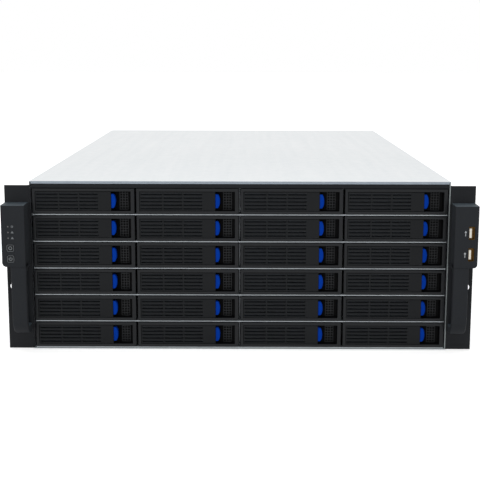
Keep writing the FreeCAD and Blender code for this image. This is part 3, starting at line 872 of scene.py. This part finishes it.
@dataclass
class TrayBank:
    """The trays, with the lever, latch and perforated plate of each; sizes in millimetres."""

    # tray front and its window
    edge: float = 3.0
    end: float = 3.9
    rim: float = 1.2
    recess: float = 20.2
    front_depth: float = 13.0
    tray_round: float = 0.6
    seam: float = 0.02
    slack: float = 0.1
    # lever and its hinge pins
    play: float = 0.35
    sunk: float = 0.6
    lever_thick: float = 7.0
    lever_round: float = 0.22
    end_round: float = 0.9
    pin_radius: float = 1.25
    pin_reach: float = 1.75
    pin_root: float = 1.0
    pivot: float = 8.0
    # louvres of the lever; faces that look down within the slope get the painted sheen
    slot_start: float = 1.0
    slot_lead: float = 3.1
    slot_tail: float = 13.4
    slot_rib: float = 1.6
    slot_height: float = 1.9
    slot_depth: float = 2.2
    slot_groups: int = 3
    slots: int = 5
    slot_rest: float = 0.27
    slope: Pair = (-0.95, -0.3)
    # latch
    latch_width: float = 4.8
    latch_shoulder: float = 2.0
    latch_height: float = 14.6
    latch_depth: float = 6.0
    latch_round: float = 0.8
    # perforated plate in the recess, narrower than it so that the hollow's painted shade shows at its sides
    plate_depth: float = 9.3
    plate_thick: float = 0.6
    plate_play: float = 0.05
    plate_width: float = 9.0
    plate_margin: float = 3.2
    plate_border: float = 0.4
    hole: float = 2.0
    hole_pitch: float = 2.8
    bays: list[Bay] = field(default_factory=list)

    def build(self) -> None:
        """Builds every bay's pieces from one template of each."""
        self.bays = [Bay.read(r, c) for r in range(1, ROWS + 1) for c in range(1, COLUMNS + 1)]
        plate, lever, latch = self.plate_mesh(), self.lever_mesh(), self.latch_mesh()
        trays = [TRAY_ABS, CARRIER_COAT, RECESS_SHADE_BLACK]
        levers = [LEVER_ABS, LOUVRE_SHEEN_ABS]
        for bay in self.bays:
            bm = cad_copy(bay.tray, self.tray_round)
            paint = partial(self.tray_finish, bay)
            piece(f"tray_{bay.mark}_body", bm, trays, bay.tray, [bay.tray], paint)
            bm = settle(plate.copy(), bay.middle)
            piece(f"recess_plate_{bay.mark}", bm, [MESH_PLATE], bay.tray)
            bm = settle(lever.copy(), bay.middle)
            piece(f"slotted_lever_{bay.mark}", bm, levers, bay.lever, [bay.lever])
            bm = settle(latch.copy(), bay.middle)
            piece(f"latch_{bay.mark}", bm, [BLUE_ACETAL], bay.lever)
        for template in (plate, lever, latch):
            template.free()

    def tray_finish(self, bay: Bay, face: BMFace) -> int:
        """Picks a tray face's finish: moulded front, coated carrier, or painted shade in the hollow of the
        window.

        Args:
            bay: the tray's bay.
            face: the face, in metres.

        Returns:
            The finish's number.
        """
        x, depth, z = (face.calc_center_median() - bay.middle) / MM
        if depth > self.front_depth + self.seam:
            return 1
        left, low, right, high = self.window()
        across = left - self.slack < x < right + self.slack
        inside = across and low - self.slack < z < high + self.slack
        # faces inside the window and behind the rim get the painted shade
        return 2 if inside and depth > self.rim else 0

    def window(self) -> tuple[float, float, float, float]:
        """Gives the left, bottom, right and top of a tray front's window, from its bay's middle."""
        bay = self.bays[0]
        return (-bay.half_width + self.edge, self.edge, bay.half_width - self.end, bay.height - self.edge)

    def lever_mesh(self) -> BMesh:
        """Makes the lever from plain and louvred stretches, with its hinge pins.

        Returns:
            The lever's mesh in millimetres.
        """
        left, low, right, high = self.window()
        left += self.play
        low += self.play
        high -= self.play
        right -= self.recess
        front = self.sunk
        back = front + self.lever_thick
        plain = [(back, low), (back, high), (front, high), (front, low)]
        louvred = plain[:3]
        pitch = (high - low) / (self.slots + self.slot_rest)
        for number in reversed(range(self.slots)):
            foot = (low + high - self.slot_height) / 2 + (number - (self.slots - 1) / 2) * pitch
            louvred += [(front, foot + self.slot_height), (front + self.slot_depth, foot), (front, foot)]
        louvred.append(plain[3])
        first = left + self.slot_start + self.slot_lead
        step = (right - first - self.slot_tail + self.slot_rib) / self.slot_groups
        stops = [left, left + self.slot_start, first + step - self.slot_rib]
        for number in range(1, self.slot_groups):
            start = first + number * step
            stops += [start, start + step - self.slot_rib]
        stops.append(right)
        parts = []
        for number, (start, end) in enumerate(zip(stops, stops[1:])):
            part = run_outline(louvred if number % 2 else plain, start, end, Axis.X)
            ends = [e for e in edges_along(part, Axis.Z) if e.verts[0].co.y < front + NEAR]
            ends = [e for e in ends if e.verts[0].co.x in (left, right)]
            round_edges(part, ends, self.end_round)
            round_edges(part, edges_along(part, Axis.X), self.lever_round, segments=2)
            parts.append(part)
        root, reach = self.pin_root, self.pin_reach
        for base, tip in ((low - reach, low + root), (high - root, high + reach)):
            pin = rod(self.pin_radius, tip - base, sides=20)
            shift(pin, (left + self.pivot, front + self.lever_thick / 2, (base + tip) / 2))
            parts.append(pin)
        whole = merge(parts)
        whole.normal_update()
        steep, flat = self.slope
        # faces that look down within the slope get the second finish, a painted sheen
        for face in whole.faces:
            face.material_index = int(steep < face.normal.z < flat)
        return whole

    def latch_mesh(self) -> BMesh:
        """Makes the latch: blunt ends with a bulge between them, and a soft rim.

        Returns:
            The latch's mesh in millimetres.
        """
        flat = self.window()[2] - self.recess
        middle = self.bays[0].height / 2
        half = self.latch_height / 2
        bulge = self.latch_width - self.latch_shoulder
        outline: list[Pair] = [(flat, middle + half), (flat, middle - half)]
        for along, up in arc((0.0, 0.0), 1.0, -90, 90, steps=20):
            outline.append((flat + self.latch_shoulder + bulge * along, middle + half * up))
        front = self.sunk + (self.lever_thick - self.latch_depth) / 2
        bm = run_outline(outline, front, front + self.latch_depth, Axis.Y)
        crown = [e for e in bm.edges if all(abs(v.co.y - front) < NEAR for v in e.verts)]
        round_edges(bm, crown, self.latch_round)
        return bm

    def plate_mesh(self) -> BMesh:
        """Makes the perforated plate at the bottom of the recess.

        Returns:
            The plate's mesh in millimetres.
        """
        _, low, right, high = self.window()
        right -= self.plate_margin
        xs = self.grid_lines(right - self.plate_width, right)
        zs = self.grid_lines(low + self.plate_play, high - self.plate_play)
        holes = {(i, j) for i in range(1, len(xs) - 1, 2) for j in range(1, len(zs) - 1, 2)}
        return pierced_plate(xs, zs, holes, self.plate_depth, self.plate_depth + self.plate_thick)

    def grid_lines(self, low: float, high: float) -> list[float]:
        """Gives the lines of a row of holes centred between two ends.

        Args:
            low: the plate's first edge.
            high: the plate's last edge.

        Returns:
            The edges of plate and holes in order.
        """
        count = int((high - low - self.plate_border) / self.hole_pitch)
        first = (low + high) / 2 - (count - 1) * self.hole_pitch / 2
        lines = [low]
        for number in range(count):
            centre = first + number * self.hole_pitch
            lines += [centre - self.hole / 2, centre + self.hole / 2]
        return lines + [high]


@dataclass
class CaseShell:
    """The folded case, its cover, cage, ears and header, with their fasteners; sizes in millimetres."""

    # rounds on the edges
    sheet_round: float = 0.3
    cage_round: float = 0.18
    ear_round: float = 0.4
    # which faces carry another finish: how far they look to the front or back, and where the card covers lie
    edge_facing: float = -0.5
    lip_shade_facing: float = 0.8
    card_facing: float = 0.9
    card_covers: Pair = (0.6, 2.0)
    # screws
    thumb_screw: ScrewHead = ScrewHead(5.0, 6.0)
    thumb_apart: float = 142.6
    thumb_height: float = 169.4
    ear_screw: ScrewHead = ScrewHead(3.4, 1.6)
    ear_screw_set: float = 42.0
    ear_screw_heights: Point = (24.0, 78.0, 132.0)
    ear_plate: float = 2.0
    # openings of the rear panel, as the CAD has them
    sheet: float = 1.2
    rear_margin: float = 11.0
    supply_width: float = 78.0
    io_width: float = 158.8
    io_height: float = 44.5
    vent_radius: float = 37.0
    vent_spread: float = 1.08
    # wire guards over the fan openings
    guard_holes: float = 71.5
    guard_rings: tuple[float, ...] = (9.0, 18.0, 27.0, 36.5)
    guard_wire: float = 0.8
    guard_stand: float = 2.0
    guard_turns: Pair = (45.0, 135.0)
    guard_bar_set: float = 1.2
    guard_screw: ScrewHead = ScrewHead(3.4, 2.4)

    def build(self) -> None:
        """Builds the shell's pieces."""
        finishes = [ZINC_BODY, BLACK_POWDER, ZINC_EDGE, ZINC_SHEET]
        tub = cad_copy("chassis", self.sheet_round)
        piece("case_tub", tub, finishes, ROOT, ["chassis"], self.tub_finish)
        finishes = [ZINC_SHEET, ZINC_LIP_SHADE]
        cover = cad_copy("top_cover", self.sheet_round)
        piece("case_cover", cover, finishes, "top_cover", ["top_cover"], self.lid_finish)
        cage = cad_copy("drive_cage", self.cage_round, segments=1)
        piece("bay_cage", cage, [CAGE_SHEET], ROOT, ["drive_cage"])
        ears = cad_copy("front_frame", self.ear_round)
        piece("ears_and_header", ears, [BLACK_POWDER], ROOT, ["front_frame"])
        self.ear_screws()
        self.cover_screws()
        self.vent_guards()

    def tub_finish(self, face: BMFace) -> int:
        """Picks a tub face's finish: sheet, black on the left front edge as painted shade, bare right front
        edge or card slot cover.

        Args:
            face: the face, in metres.

        Returns:
            The finish's number.
        """
        middle = face.calc_center_median()
        low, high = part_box("chassis")
        if face.normal.y < self.edge_facing and middle.y < low.y + MM:
            # the left front edge is painted black as shade; the right one stays bare
            return 1 if middle.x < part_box("drive_cage")[0].x else 2
        near, far = self.card_covers
        behind_panel = high.y - far * MM < middle.y < high.y - near * MM
        return 3 if face.normal.y > self.card_facing and behind_panel else 0

    def lid_finish(self, face: BMFace) -> int:
        """Picks a cover face's finish: sheet, or the lip's painted shade where it looks to the front or the
        back.
        """
        return int(abs(face.normal.y) > self.lip_shade_facing)

    def cover_screws(self) -> None:
        """Sets the two thumb screws that hold the cover to the back."""
        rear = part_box("chassis")[1].y / MM
        heads = []
        for side in Side:
            centre = (side.value * self.thumb_apart, rear, self.thumb_height)
            heads.append(self.thumb_screw.mesh(centre, (0, 1, 0)))
        piece("cover_screws", settle(merge(heads)), [NICKEL], "top_cover")

    def ear_screws(self) -> None:
        """Sets three screws through the leg of each ear into the wall."""
        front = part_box("front_frame")[0].y / MM
        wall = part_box("chassis")[1].x / MM
        for side in Side:
            heads = []
            for height in self.ear_screw_heights:
                centre = (side.value * (wall + self.ear_plate), front + self.ear_screw_set, height)
                heads.append(self.ear_screw.mesh(centre, (side.value, 0, 0)))
            piece(f"ear_screws_{side.name.lower()}", settle(merge(heads)), [NICKEL], ROOT)

    def vent_guards(self) -> None:
        """Sets a wire guard over each rear fan opening, held by four screws."""
        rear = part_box("chassis")[1].y / MM
        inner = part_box("chassis")[1].x / MM - self.sheet
        io_right = inner - self.rear_margin - self.supply_width - self.rear_margin
        middle = io_right - self.io_width / 2
        height = 2 * self.rear_margin + self.io_height + self.vent_radius
        for name, side in zip("ab", Side):
            x = middle + side.value * self.vent_radius * self.vent_spread
            guard = self.guard()
            shift(guard, (x, rear + self.guard_stand, height))
            piece(f"vent_guard_{name}", settle(guard), [NICKEL], ROOT)

    def guard(self) -> BMesh:
        """Makes a wire guard: rings, two crossed bars and four screws.

        Returns:
            The guard's mesh in millimetres, about its middle.
        """
        parts = [self.wire_ring(radius) for radius in self.guard_rings]
        for turn in self.guard_turns:
            bar = rod(self.guard_wire, self.guard_holes * math.sqrt(2), sides=10)
            spun = Matrix.Rotation(math.radians(turn), 3, "Y")
            bmesh.ops.rotate(bar, cent=(0, 0, 0), matrix=spun, verts=bar.verts[:])
            shift(bar, (0, -self.guard_bar_set, 0))
            parts.append(bar)
        hole = self.guard_holes / 2
        for across, up in ((-hole, -hole), (-hole, hole), (hole, -hole), (hole, hole)):
            parts.append(self.guard_screw.mesh((across, -self.guard_stand, up), (0, 1, 0)))
        return merge(parts)

    def wire_ring(self, radius: float) -> BMesh:
        """Makes a ring of wire that looks along Y.

        Args:
            radius: the ring's radius.

        Returns:
            The ring's mesh in millimetres.
        """
        bm = bmesh.new()
        bmesh.ops.create_circle(bm, segments=8, radius=self.guard_wire)
        shift(bm, (radius, 0, 0))
        turn_about_y(bm, math.tau, steps=40)
        bmesh.ops.remove_doubles(bm, verts=bm.verts[:], dist=NEAR)
        bmesh.ops.recalc_face_normals(bm, faces=bm.faces[:])
        return bm


@dataclass
class EarHandles:
    """The two ear mouldings with sockets, lamps and signs; sizes in millimetres."""

    # bar and foot
    reach: float = 24.0
    bar_width: float = 15.6
    bar_thick: float = 7.0
    bar_step: float = 0.7
    bar_round: float = 1.6
    bar_lap: float = 4.0
    bar_rooted: float = 3.0
    foot_low: float = 18.8
    foot_thick: float = 9.0
    foot_round: float = 19.0
    grip_round: float = 7.0
    # box and its wells; faces that look up further than the last of these get a lighter finish, a painted
    # highlight
    box_width: float = 23.8
    box_low: float = 91.8
    box_high: float = 155.0
    box_front: float = 12.0
    box_corner: float = 4.5
    box_rim: float = 1.3
    well_corner: float = 1.2
    well_rim: float = 0.2
    highlight_facing: float = 0.6
    # keys
    key_inset: float = 8.8
    key_half: float = 4.0
    key_round: float = 0.25
    power_height: float = 100.2
    reset_height: float = 111.3
    # data sockets
    socket_inset: float = 6.8
    socket_half: Pair = (3.2, 6.9)
    socket_heights: Pair = (105.7, 127.7)
    socket_sunk: float = 0.2
    shell_outer: Pair = (2.9, 6.6)
    shell_inner: Pair = (2.5, 6.2)
    shell_span: Pair = (0.3, 11.0)
    shell_round: float = 0.12
    socket_floor: SocketBlock = SocketBlock(-2.6, 2.6, 6.3, 3.5, 11.2)
    tongue: SocketBlock = SocketBlock(-2.4, 0.0, 4.8, 0.5, 10.8, 0.3)
    contact: SocketBlock = SocketBlock(-0.1, 0.2, 0.5, 1.2, 9.6, 0.06, 1)
    contact_steps: tuple[float, ...] = (-3.6, -1.2, 1.2, 3.6)
    # lamps
    lamp_heights: tuple[float, ...] = (133.4, 127.5, 121.6)
    lamp_radius: float = 0.8
    lamp_flat: float = 0.45
    lamp_shift: float = 1.7
    # prints on the boxes
    box_print: float = 0.05
    sign_shift: float = 2.5
    port_sign_shift: float = 6.3
    lamp_ring: Pair = (0.9, 0.5)
    triangles: Sequence[Outline] = (
        ((-1.5, -0.9), (1.5, -0.9), (0, 1.5)),
        ((-1.6, -0.9), (1.6, -0.9), (0, 1.5)),
    )
    port_signs: Sequence[Outline] = (
        ((0, 2.6), (-1.2, 1.0), (0, -0.6), (1.2, 1.0)),
        ((-0.4, -3.0), (0.4, -3.0), (0.4, 0), (-0.4, 0)),
    )
    # prints on the keys
    key_print: float = 0.14
    key_ring: Pair = (1.55, 0.75)
    ring_gap: float = 70.0
    power_bar: Outline = ((-0.28, 0), (0.28, 0), (0.28, 2.2), (-0.28, 2.2))
    frame_inset: float = 0.45
    frame_width: float = 0.4
    # where the mouldings lie, read from the frame
    flange: float = field(init=False)
    inner: float = field(init=False)
    key_x: float = field(init=False)
    socket_x: float = field(init=False)

    def __post_init__(self) -> None:
        """Reads from the frame where the mouldings lie."""
        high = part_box("ear_handles")[1]
        self.flange = high.y
        self.inner = high.x / MM - self.box_width
        self.key_x = self.key_inset - high.x / MM
        self.socket_x = high.x / MM - self.socket_inset

    def build(self) -> None:
        """Builds both mouldings and what is set into them."""
        keys = [(self.key_x, z, self.key_half, self.key_half) for z in (self.power_height, self.reset_height)]
        ports = [(self.socket_x, z, *self.socket_half) for z in self.socket_heights]
        # the second finish is a painted highlight on the faces that look up
        finishes = [HANDLE_ABS, LIT_TOP_ABS]
        for side, wells, nodes in ((Side.LEFT, keys, ["ear_handles"]), (Side.RIGHT, ports, [])):
            bm = self.moulding(side, wells)
            name = f"handle_moulding_{side.name.lower()}"
            piece(name, bm, finishes, ROOT, nodes, self.top_finish)
        for number, height in enumerate(self.socket_heights, 1):
            self.socket(number, height)
        self.lamps()
        self.signs()
        self.keys()

    def top_finish(self, face: BMFace) -> int:
        """Picks a moulding face's finish: plain, or a painted highlight where it looks up."""
        return int(face.normal.z > self.highlight_facing)

    def span(self, side: Side, width: float) -> Pair:
        """Gives the lower and the higher end across of what an ear carries, by its width."""
        first, last = sorted((side.value * self.inner, side.value * (self.inner + width)))
        return first, last

    def place(self, bm: BMesh) -> BMesh:
        """Moves a mesh from the flange's plane into the frame."""
        return settle(bm, Vector((0, self.flange, 0)))

    def moulding(self, side: Side, wells: Sequence[Well]) -> BMesh:
        """Makes one moulding: the bowed bar with its foot, and the box with its wells.

        Args:
            side: the ear's side.
            wells: centre and half sizes of each well in the box's front.

        Returns:
            The moulding's mesh, in place.
        """
        face = -self.reach
        shy = face + self.bar_step
        grip = face + self.bar_thick
        foot = self.foot_low
        top = self.box_low + self.bar_lap
        gap_low = foot + self.foot_thick
        gap_high = self.box_low - self.bar_thick / 2
        small = self.grip_round
        big = self.foot_round
        outline: list[Pair] = [(0.0, foot)]
        outline += arc((shy + big, foot + big), big, 270, 180, steps=14)
        outline += [(shy, top), (0.0, top), (0.0, gap_high)]
        outline += arc((grip + small, gap_high - small), small, 90, 180, steps=8)
        outline += arc((grip + small, gap_low + small), small, 180, 270, steps=8)
        outline += [(0.0, gap_low)]
        bar = run_outline(outline, *self.span(side, self.bar_width), Axis.X)
        rims = []
        for edge in bar.edges:
            a, b = (v.co for v in edge.verts)
            if abs(a.x - b.x) < NEAR and min(a.y, b.y) < -self.bar_rooted:
                rims.append(edge)
        round_edges(bar, rims, self.bar_round)
        return self.place(merge([bar, *self.box_parts(side, wells)]))

    def box_parts(self, side: Side, wells: Sequence[Well]) -> list[BMesh]:
        """Makes the control box: a pierced front block and a plain one behind it.

        Args:
            side: the ear's side.
            wells: centre and half sizes of each well.

        Returns:
            The meshes of the front and the back.
        """
        ends = self.span(side, self.box_width)
        xs = sorted({*ends, *(w[0] - w[2] for w in wells), *(w[0] + w[2] for w in wells)})
        sills = {*(w[1] - w[3] for w in wells), *(w[1] + w[3] for w in wells)}
        zs = sorted({self.box_low, self.box_high, *sills})
        holes = set()
        for x, z, _, _ in wells:
            column = max(i for i, v in enumerate(xs) if v < x)
            row = max(i for i, v in enumerate(zs) if v < z)
            holes.add((column, row))
        back = self.box_front - self.reach
        front = pierced_plate(xs, zs, holes, -self.reach, back, self.well_corner)
        rear = block((ends[0], back, self.box_low), (ends[1], 0, self.box_high))
        outer = side.value * (self.inner + self.box_width)
        for part in (front, rear):
            corner = [
                e
                for e in part.edges
                if all(abs(v.co.x - outer) < NEAR and abs(v.co.z - self.box_low) < NEAR for v in e.verts)
            ]
            round_edges(part, corner, self.box_corner, segments=6)
        face = -self.reach
        rim = []
        for edge in front.edges:
            outside = any(self.on_border(f.calc_center_median(), ends) for f in edge.link_faces)
            ahead = all(abs(v.co.y - face) < NEAR for v in edge.verts)
            if outside and ahead and is_corner(edge):
                rim.append(edge)
        round_edges(front, rim, self.box_rim)
        soften(front, self.well_rim, segments=1, sharp=60.0)
        return [front, rear]

    def on_border(self, point: Vector, ends: Pair) -> bool:
        """Tells whether a face lies on the box's outer sides.

        Args:
            point: the face's middle.
            ends: the box's ends across.

        Returns:
            True on the sides, the top, the bottom and the round between them.
        """
        across = min(abs(point.x - ends[0]), abs(point.x - ends[1]))
        up = min(abs(point.z - self.box_low), abs(point.z - self.box_high))
        corner = point.z < self.box_low + self.box_corner and across < self.box_corner
        return across < NEAR or up < NEAR or corner

    def socket(self, number: int, height: float) -> None:
        """Sets one data socket: plated shell, pale tongue at the left, gilt strips on it.

        Args:
            number: the socket's number.
            height: its centre over the floor.
        """
        front = self.socket_sunk - self.reach
        x = self.socket_x
        wide, tall = self.shell_outer
        inner, clear = self.shell_inner
        xs = [x - wide, x - inner, x + inner, x + wide]
        zs = [height - tall, height - clear, height + clear, height + tall]
        near, far = self.shell_span
        shell = pierced_plate(xs, zs, {(1, 1)}, front + near, front + far)
        soften(shell, self.shell_round, segments=1)
        floor = self.socket_floor.mesh(x, front, height)
        piece(f"socket_shell_{number}", self.place(merge([shell, floor])), [SHADED_BRASS], ROOT)
        tongue = self.tongue.mesh(x, front, height)
        piece(f"socket_tongue_{number}", self.place(tongue), [PALE_NYLON], ROOT)
        strips = [self.contact.mesh(x, front, height + step) for step in self.contact_steps]
        piece(f"socket_contacts_{number}", self.place(merge(strips)), [SHADED_BRASS], ROOT)

    def lamps(self) -> None:
        """Sets the three lamp pipes into the left box."""
        pipes = []
        for height in self.lamp_heights:
            bm = bmesh.new()
            bmesh.ops.create_uvsphere(bm, u_segments=16, v_segments=10, radius=self.lamp_radius)
            bmesh.ops.scale(bm, vec=(1, self.lamp_flat, 1), verts=bm.verts[:])
            shift(bm, (self.key_x - self.lamp_shift, -self.reach, height))
            pipes.append(bm)
        piece("lamp_pipes", self.place(merge(pipes)), [LAMP_PIPE], ROOT)

    def signs(self) -> None:
        """Prints the small generic signs beside the lamps and the sockets."""
        front = -self.reach - self.box_print
        x = self.key_x + self.sign_shift
        signs = [ring_sign(x, self.lamp_heights[0], *self.lamp_ring, front)]
        for height, triangle in zip(self.lamp_heights[1:], self.triangles):
            signs.append(flat_sign(triangle, x, height, front))
        x = self.socket_x - self.port_sign_shift
        for height in self.socket_heights:
            signs += [flat_sign(outline, x, height, front) for outline in self.port_signs]
        prints = [WHITE_PRINT, PORT_PRINT]
        piece("box_signs", self.place(merge(signs)), prints, ROOT, (), self.sign_finish)

    @staticmethod
    def sign_finish(face: BMFace) -> int:
        """Picks a sign's print: grey on the left ear, whiter beside the sockets on the right one."""
        return int(face.calc_center_median().x > 0)

    def keys(self) -> None:
        """Dresses both keys and prints a framed ring on each, open with a bar on the power key."""
        front = self.key_print - self.reach
        x = self.key_x
        keys = (("power", self.power_height, self.ring_gap), ("reset", self.reset_height, 0.0))
        for name, height, gap in keys:
            body = f"{name}_button"
            key = cad_copy(body, self.key_round)
            piece(f"{name}_key", key, [LEVER_ABS], body, [body])
            signs = [ring_sign(x, height, *self.key_ring, front, gap)]
            if gap:
                signs.append(flat_sign(self.power_bar, x, height, front))
            signs.append(frame_sign(x, height, self.key_half - self.frame_inset, self.frame_width, front))
            piece(f"{name}_sign", self.place(merge(signs)), [WHITE_PRINT], body)


@dataclass
class Cooling:
    """The fan wall, its rotors and the backplanes; sizes in millimetres."""

    sheet: float = 1.2
    board: float = 1.6
    slack: float = 0.05
    fan_round: float = 0.3
    board_round: float = 0.15

    def build(self) -> None:
        """Builds the fans and the boards."""
        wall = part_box("fan_wall")[0].y + (self.sheet + self.slack) * MM
        piece(
            "fan_bank",
            cad_copy("fan_wall", self.fan_round),
            [CAGE_SHEET, FAN_NYLON],
            ROOT,
            ["fan_wall"],
            lambda face: int(face.calc_center_median().y > wall),
        )
        for number in range(1, FAN_COUNT + 1):
            node = f"fan_rotor_{number}"
            wheel = cad_copy(node, self.fan_round)
            piece(f"fan_wheel_{number}", wheel, [ROTOR_NYLON], node, [node])
        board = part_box("backplanes")[1].y - (self.board + self.slack) * MM
        piece(
            "row_boards",
            cad_copy("backplanes", self.board_round, segments=1),
            [BOARD_GREEN, PLUG_NYLON],
            ROOT,
            ["backplanes"],
            lambda face: int(face.calc_center_median().y < board),
        )


@dataclass(frozen=True)
class PhotoCamera:
    """The camera that took the picture, fitted in millimetres from the ears' front plane."""

    place: Point = (6.908, -1095.19, 311.34)
    focal_px: float = 1079.4
    image_px: float = 480.0
    sensor_mm: float = 36.0
    clip_end: float = 50.0
    pitch: float = 0.17640
    yaw: float = 0.006002
    roll: float = 0.001524

    def build(self, front: float) -> None:
        """Adds the camera and makes it the scene's.

        Args:
            front: where the ears' front plane lies, in metres.
        """
        turn = Matrix.Rotation(-self.yaw, 3, "Z")
        nod = Matrix.Rotation(self.pitch, 3, "X")
        tilt = Matrix.Rotation(self.roll, 3, "Y")
        right, ahead, up = tilt @ nod @ turn
        data = bpy.data.cameras.new("photo_camera")
        data.sensor_width = self.sensor_mm
        data.lens = self.focal_px / self.image_px * self.sensor_mm
        data.clip_end = self.clip_end
        camera = bpy.data.objects.new("photo_camera", data)
        bpy.context.scene.collection.objects.link(camera)
        axes = Matrix((right, up, -ahead)).transposed().to_4x4()
        camera.matrix_world = Matrix.Translation(Vector(self.place) * MM + Vector((0, front, 0))) @ axes
        bpy.context.scene.camera = camera


@dataclass(frozen=True)
class Lamp:
    """One soft square lamp, with its place, target and side in metres and its power in watts."""

    name: str
    place: Point
    target: Point
    size: float
    power: float

    def build(self) -> None:
        """Adds the lamp to the scene, looking at its target."""
        data = bpy.data.lights.new(self.name, "AREA")
        data.size = self.size
        data.energy = self.power
        light = bpy.data.objects.new(self.name, data)
        way = Vector(self.target) - Vector(self.place)
        turn = way.to_track_quat("-Z", "Y").to_matrix().to_4x4()
        light.matrix_world = Matrix.Translation(self.place) @ turn
        bpy.context.scene.collection.objects.link(light)


LAMPS = (
    Lamp("key_panel", (-1.5, -2.2, 2.0), (0, -0.2, 0.1), 3.8, 24.0),
    Lamp("fill_panel", (1.6, -2.2, 1.3), (0, -0.3, 0.1), 2.6, 6.0),
    Lamp("top_panel", (0.0, 0.6, 2.6), (0, 0.0, 0.1), 3.4, 12.0),
)


@dataclass
class Studio:
    """Pale floor, white surroundings and soft lamps."""

    floor_size: float = 12.0
    floor_drop: float = 0.0005
    floor_glow: float = 0.55
    sky_light: float = 0.65

    def build(self) -> None:
        """Builds the floor, the world and the lamps."""
        scene = bpy.context.scene
        scene.view_settings.view_transform = "Standard"
        self.floor()
        self.world(scene)
        for lamp in LAMPS:
            lamp.build()

    @staticmethod
    def seen(tree: NodeTree) -> NodeSocket:
        """Tells apart what is seen and what only lights.

        Args:
            tree: the node tree to add to.

        Returns:
            A socket with one for what the camera, a reflection or clear material sees, else zero.
        """
        path = add_node(tree, "ShaderNodeLightPath")
        seen = path.outputs["Is Camera Ray"]
        for name in ("Is Glossy Ray", "Is Transmission Ray"):
            given = {0: seen, 1: path.outputs[name]}
            seen = add_node(tree, "ShaderNodeMath", {"operation": "MAXIMUM"}, given).outputs[0]
        return seen

    def floor(self) -> None:
        """Lays the floor under the case; it looks white where nothing shades it."""
        bm = bmesh.new()
        bmesh.ops.create_grid(bm, x_segments=4, y_segments=4, size=self.floor_size)
        mesh = bpy.data.meshes.new("studio_floor")
        bm.to_mesh(mesh)
        bm.free()
        material = PALE_FLOOR.material()
        tree = material.node_tree
        shader = tree.nodes["Principled BSDF"]
        shader.inputs["Emission Color"].default_value = (1, 1, 1, 1)
        given = {"Value": self.seen(tree), "To Max": self.floor_glow}
        glow = add_node(tree, "ShaderNodeMapRange", inputs=given)
        tree.links.new(glow.outputs["Result"], shader.inputs["Emission Strength"])
        mesh.materials.append(material)
        ground = bpy.data.objects.new("studio_floor", mesh)
        ground.location = (0, 0, -self.floor_drop)
        bpy.context.scene.collection.objects.link(ground)

    def world(self, scene: bpy.types.Scene) -> None:
        """Surrounds the scene with soft light that looks white to the camera and in reflections.

        Args:
            scene: the scene to light.
        """
        world = bpy.data.worlds.new("studio_white")
        scene.world = world
        world.use_nodes = True
        tree = world.node_tree
        tree.nodes.clear()
        given = {"Value": self.seen(tree), "To Min": self.sky_light, "To Max": 1.0}
        strength = add_node(tree, "ShaderNodeMapRange", inputs=given).outputs["Result"]
        sky = add_node(tree, "ShaderNodeBackground", inputs={"Color": (1, 1, 1, 1), "Strength": strength})
        add_node(tree, "ShaderNodeOutputWorld", inputs={"Surface": sky.outputs[0]})


def main() -> None:
    """Builds every sub-assembly and the studio around them."""
    logging.basicConfig(level=logging.INFO, format="%(name)s: %(message)s")
    for assembly in (CaseShell(), TrayBank(), EarHandles(), Cooling(), Studio()):
        assembly.build()
    PhotoCamera().build(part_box("ear_handles")[1].y)


if __name__ == "__main__":
    main()
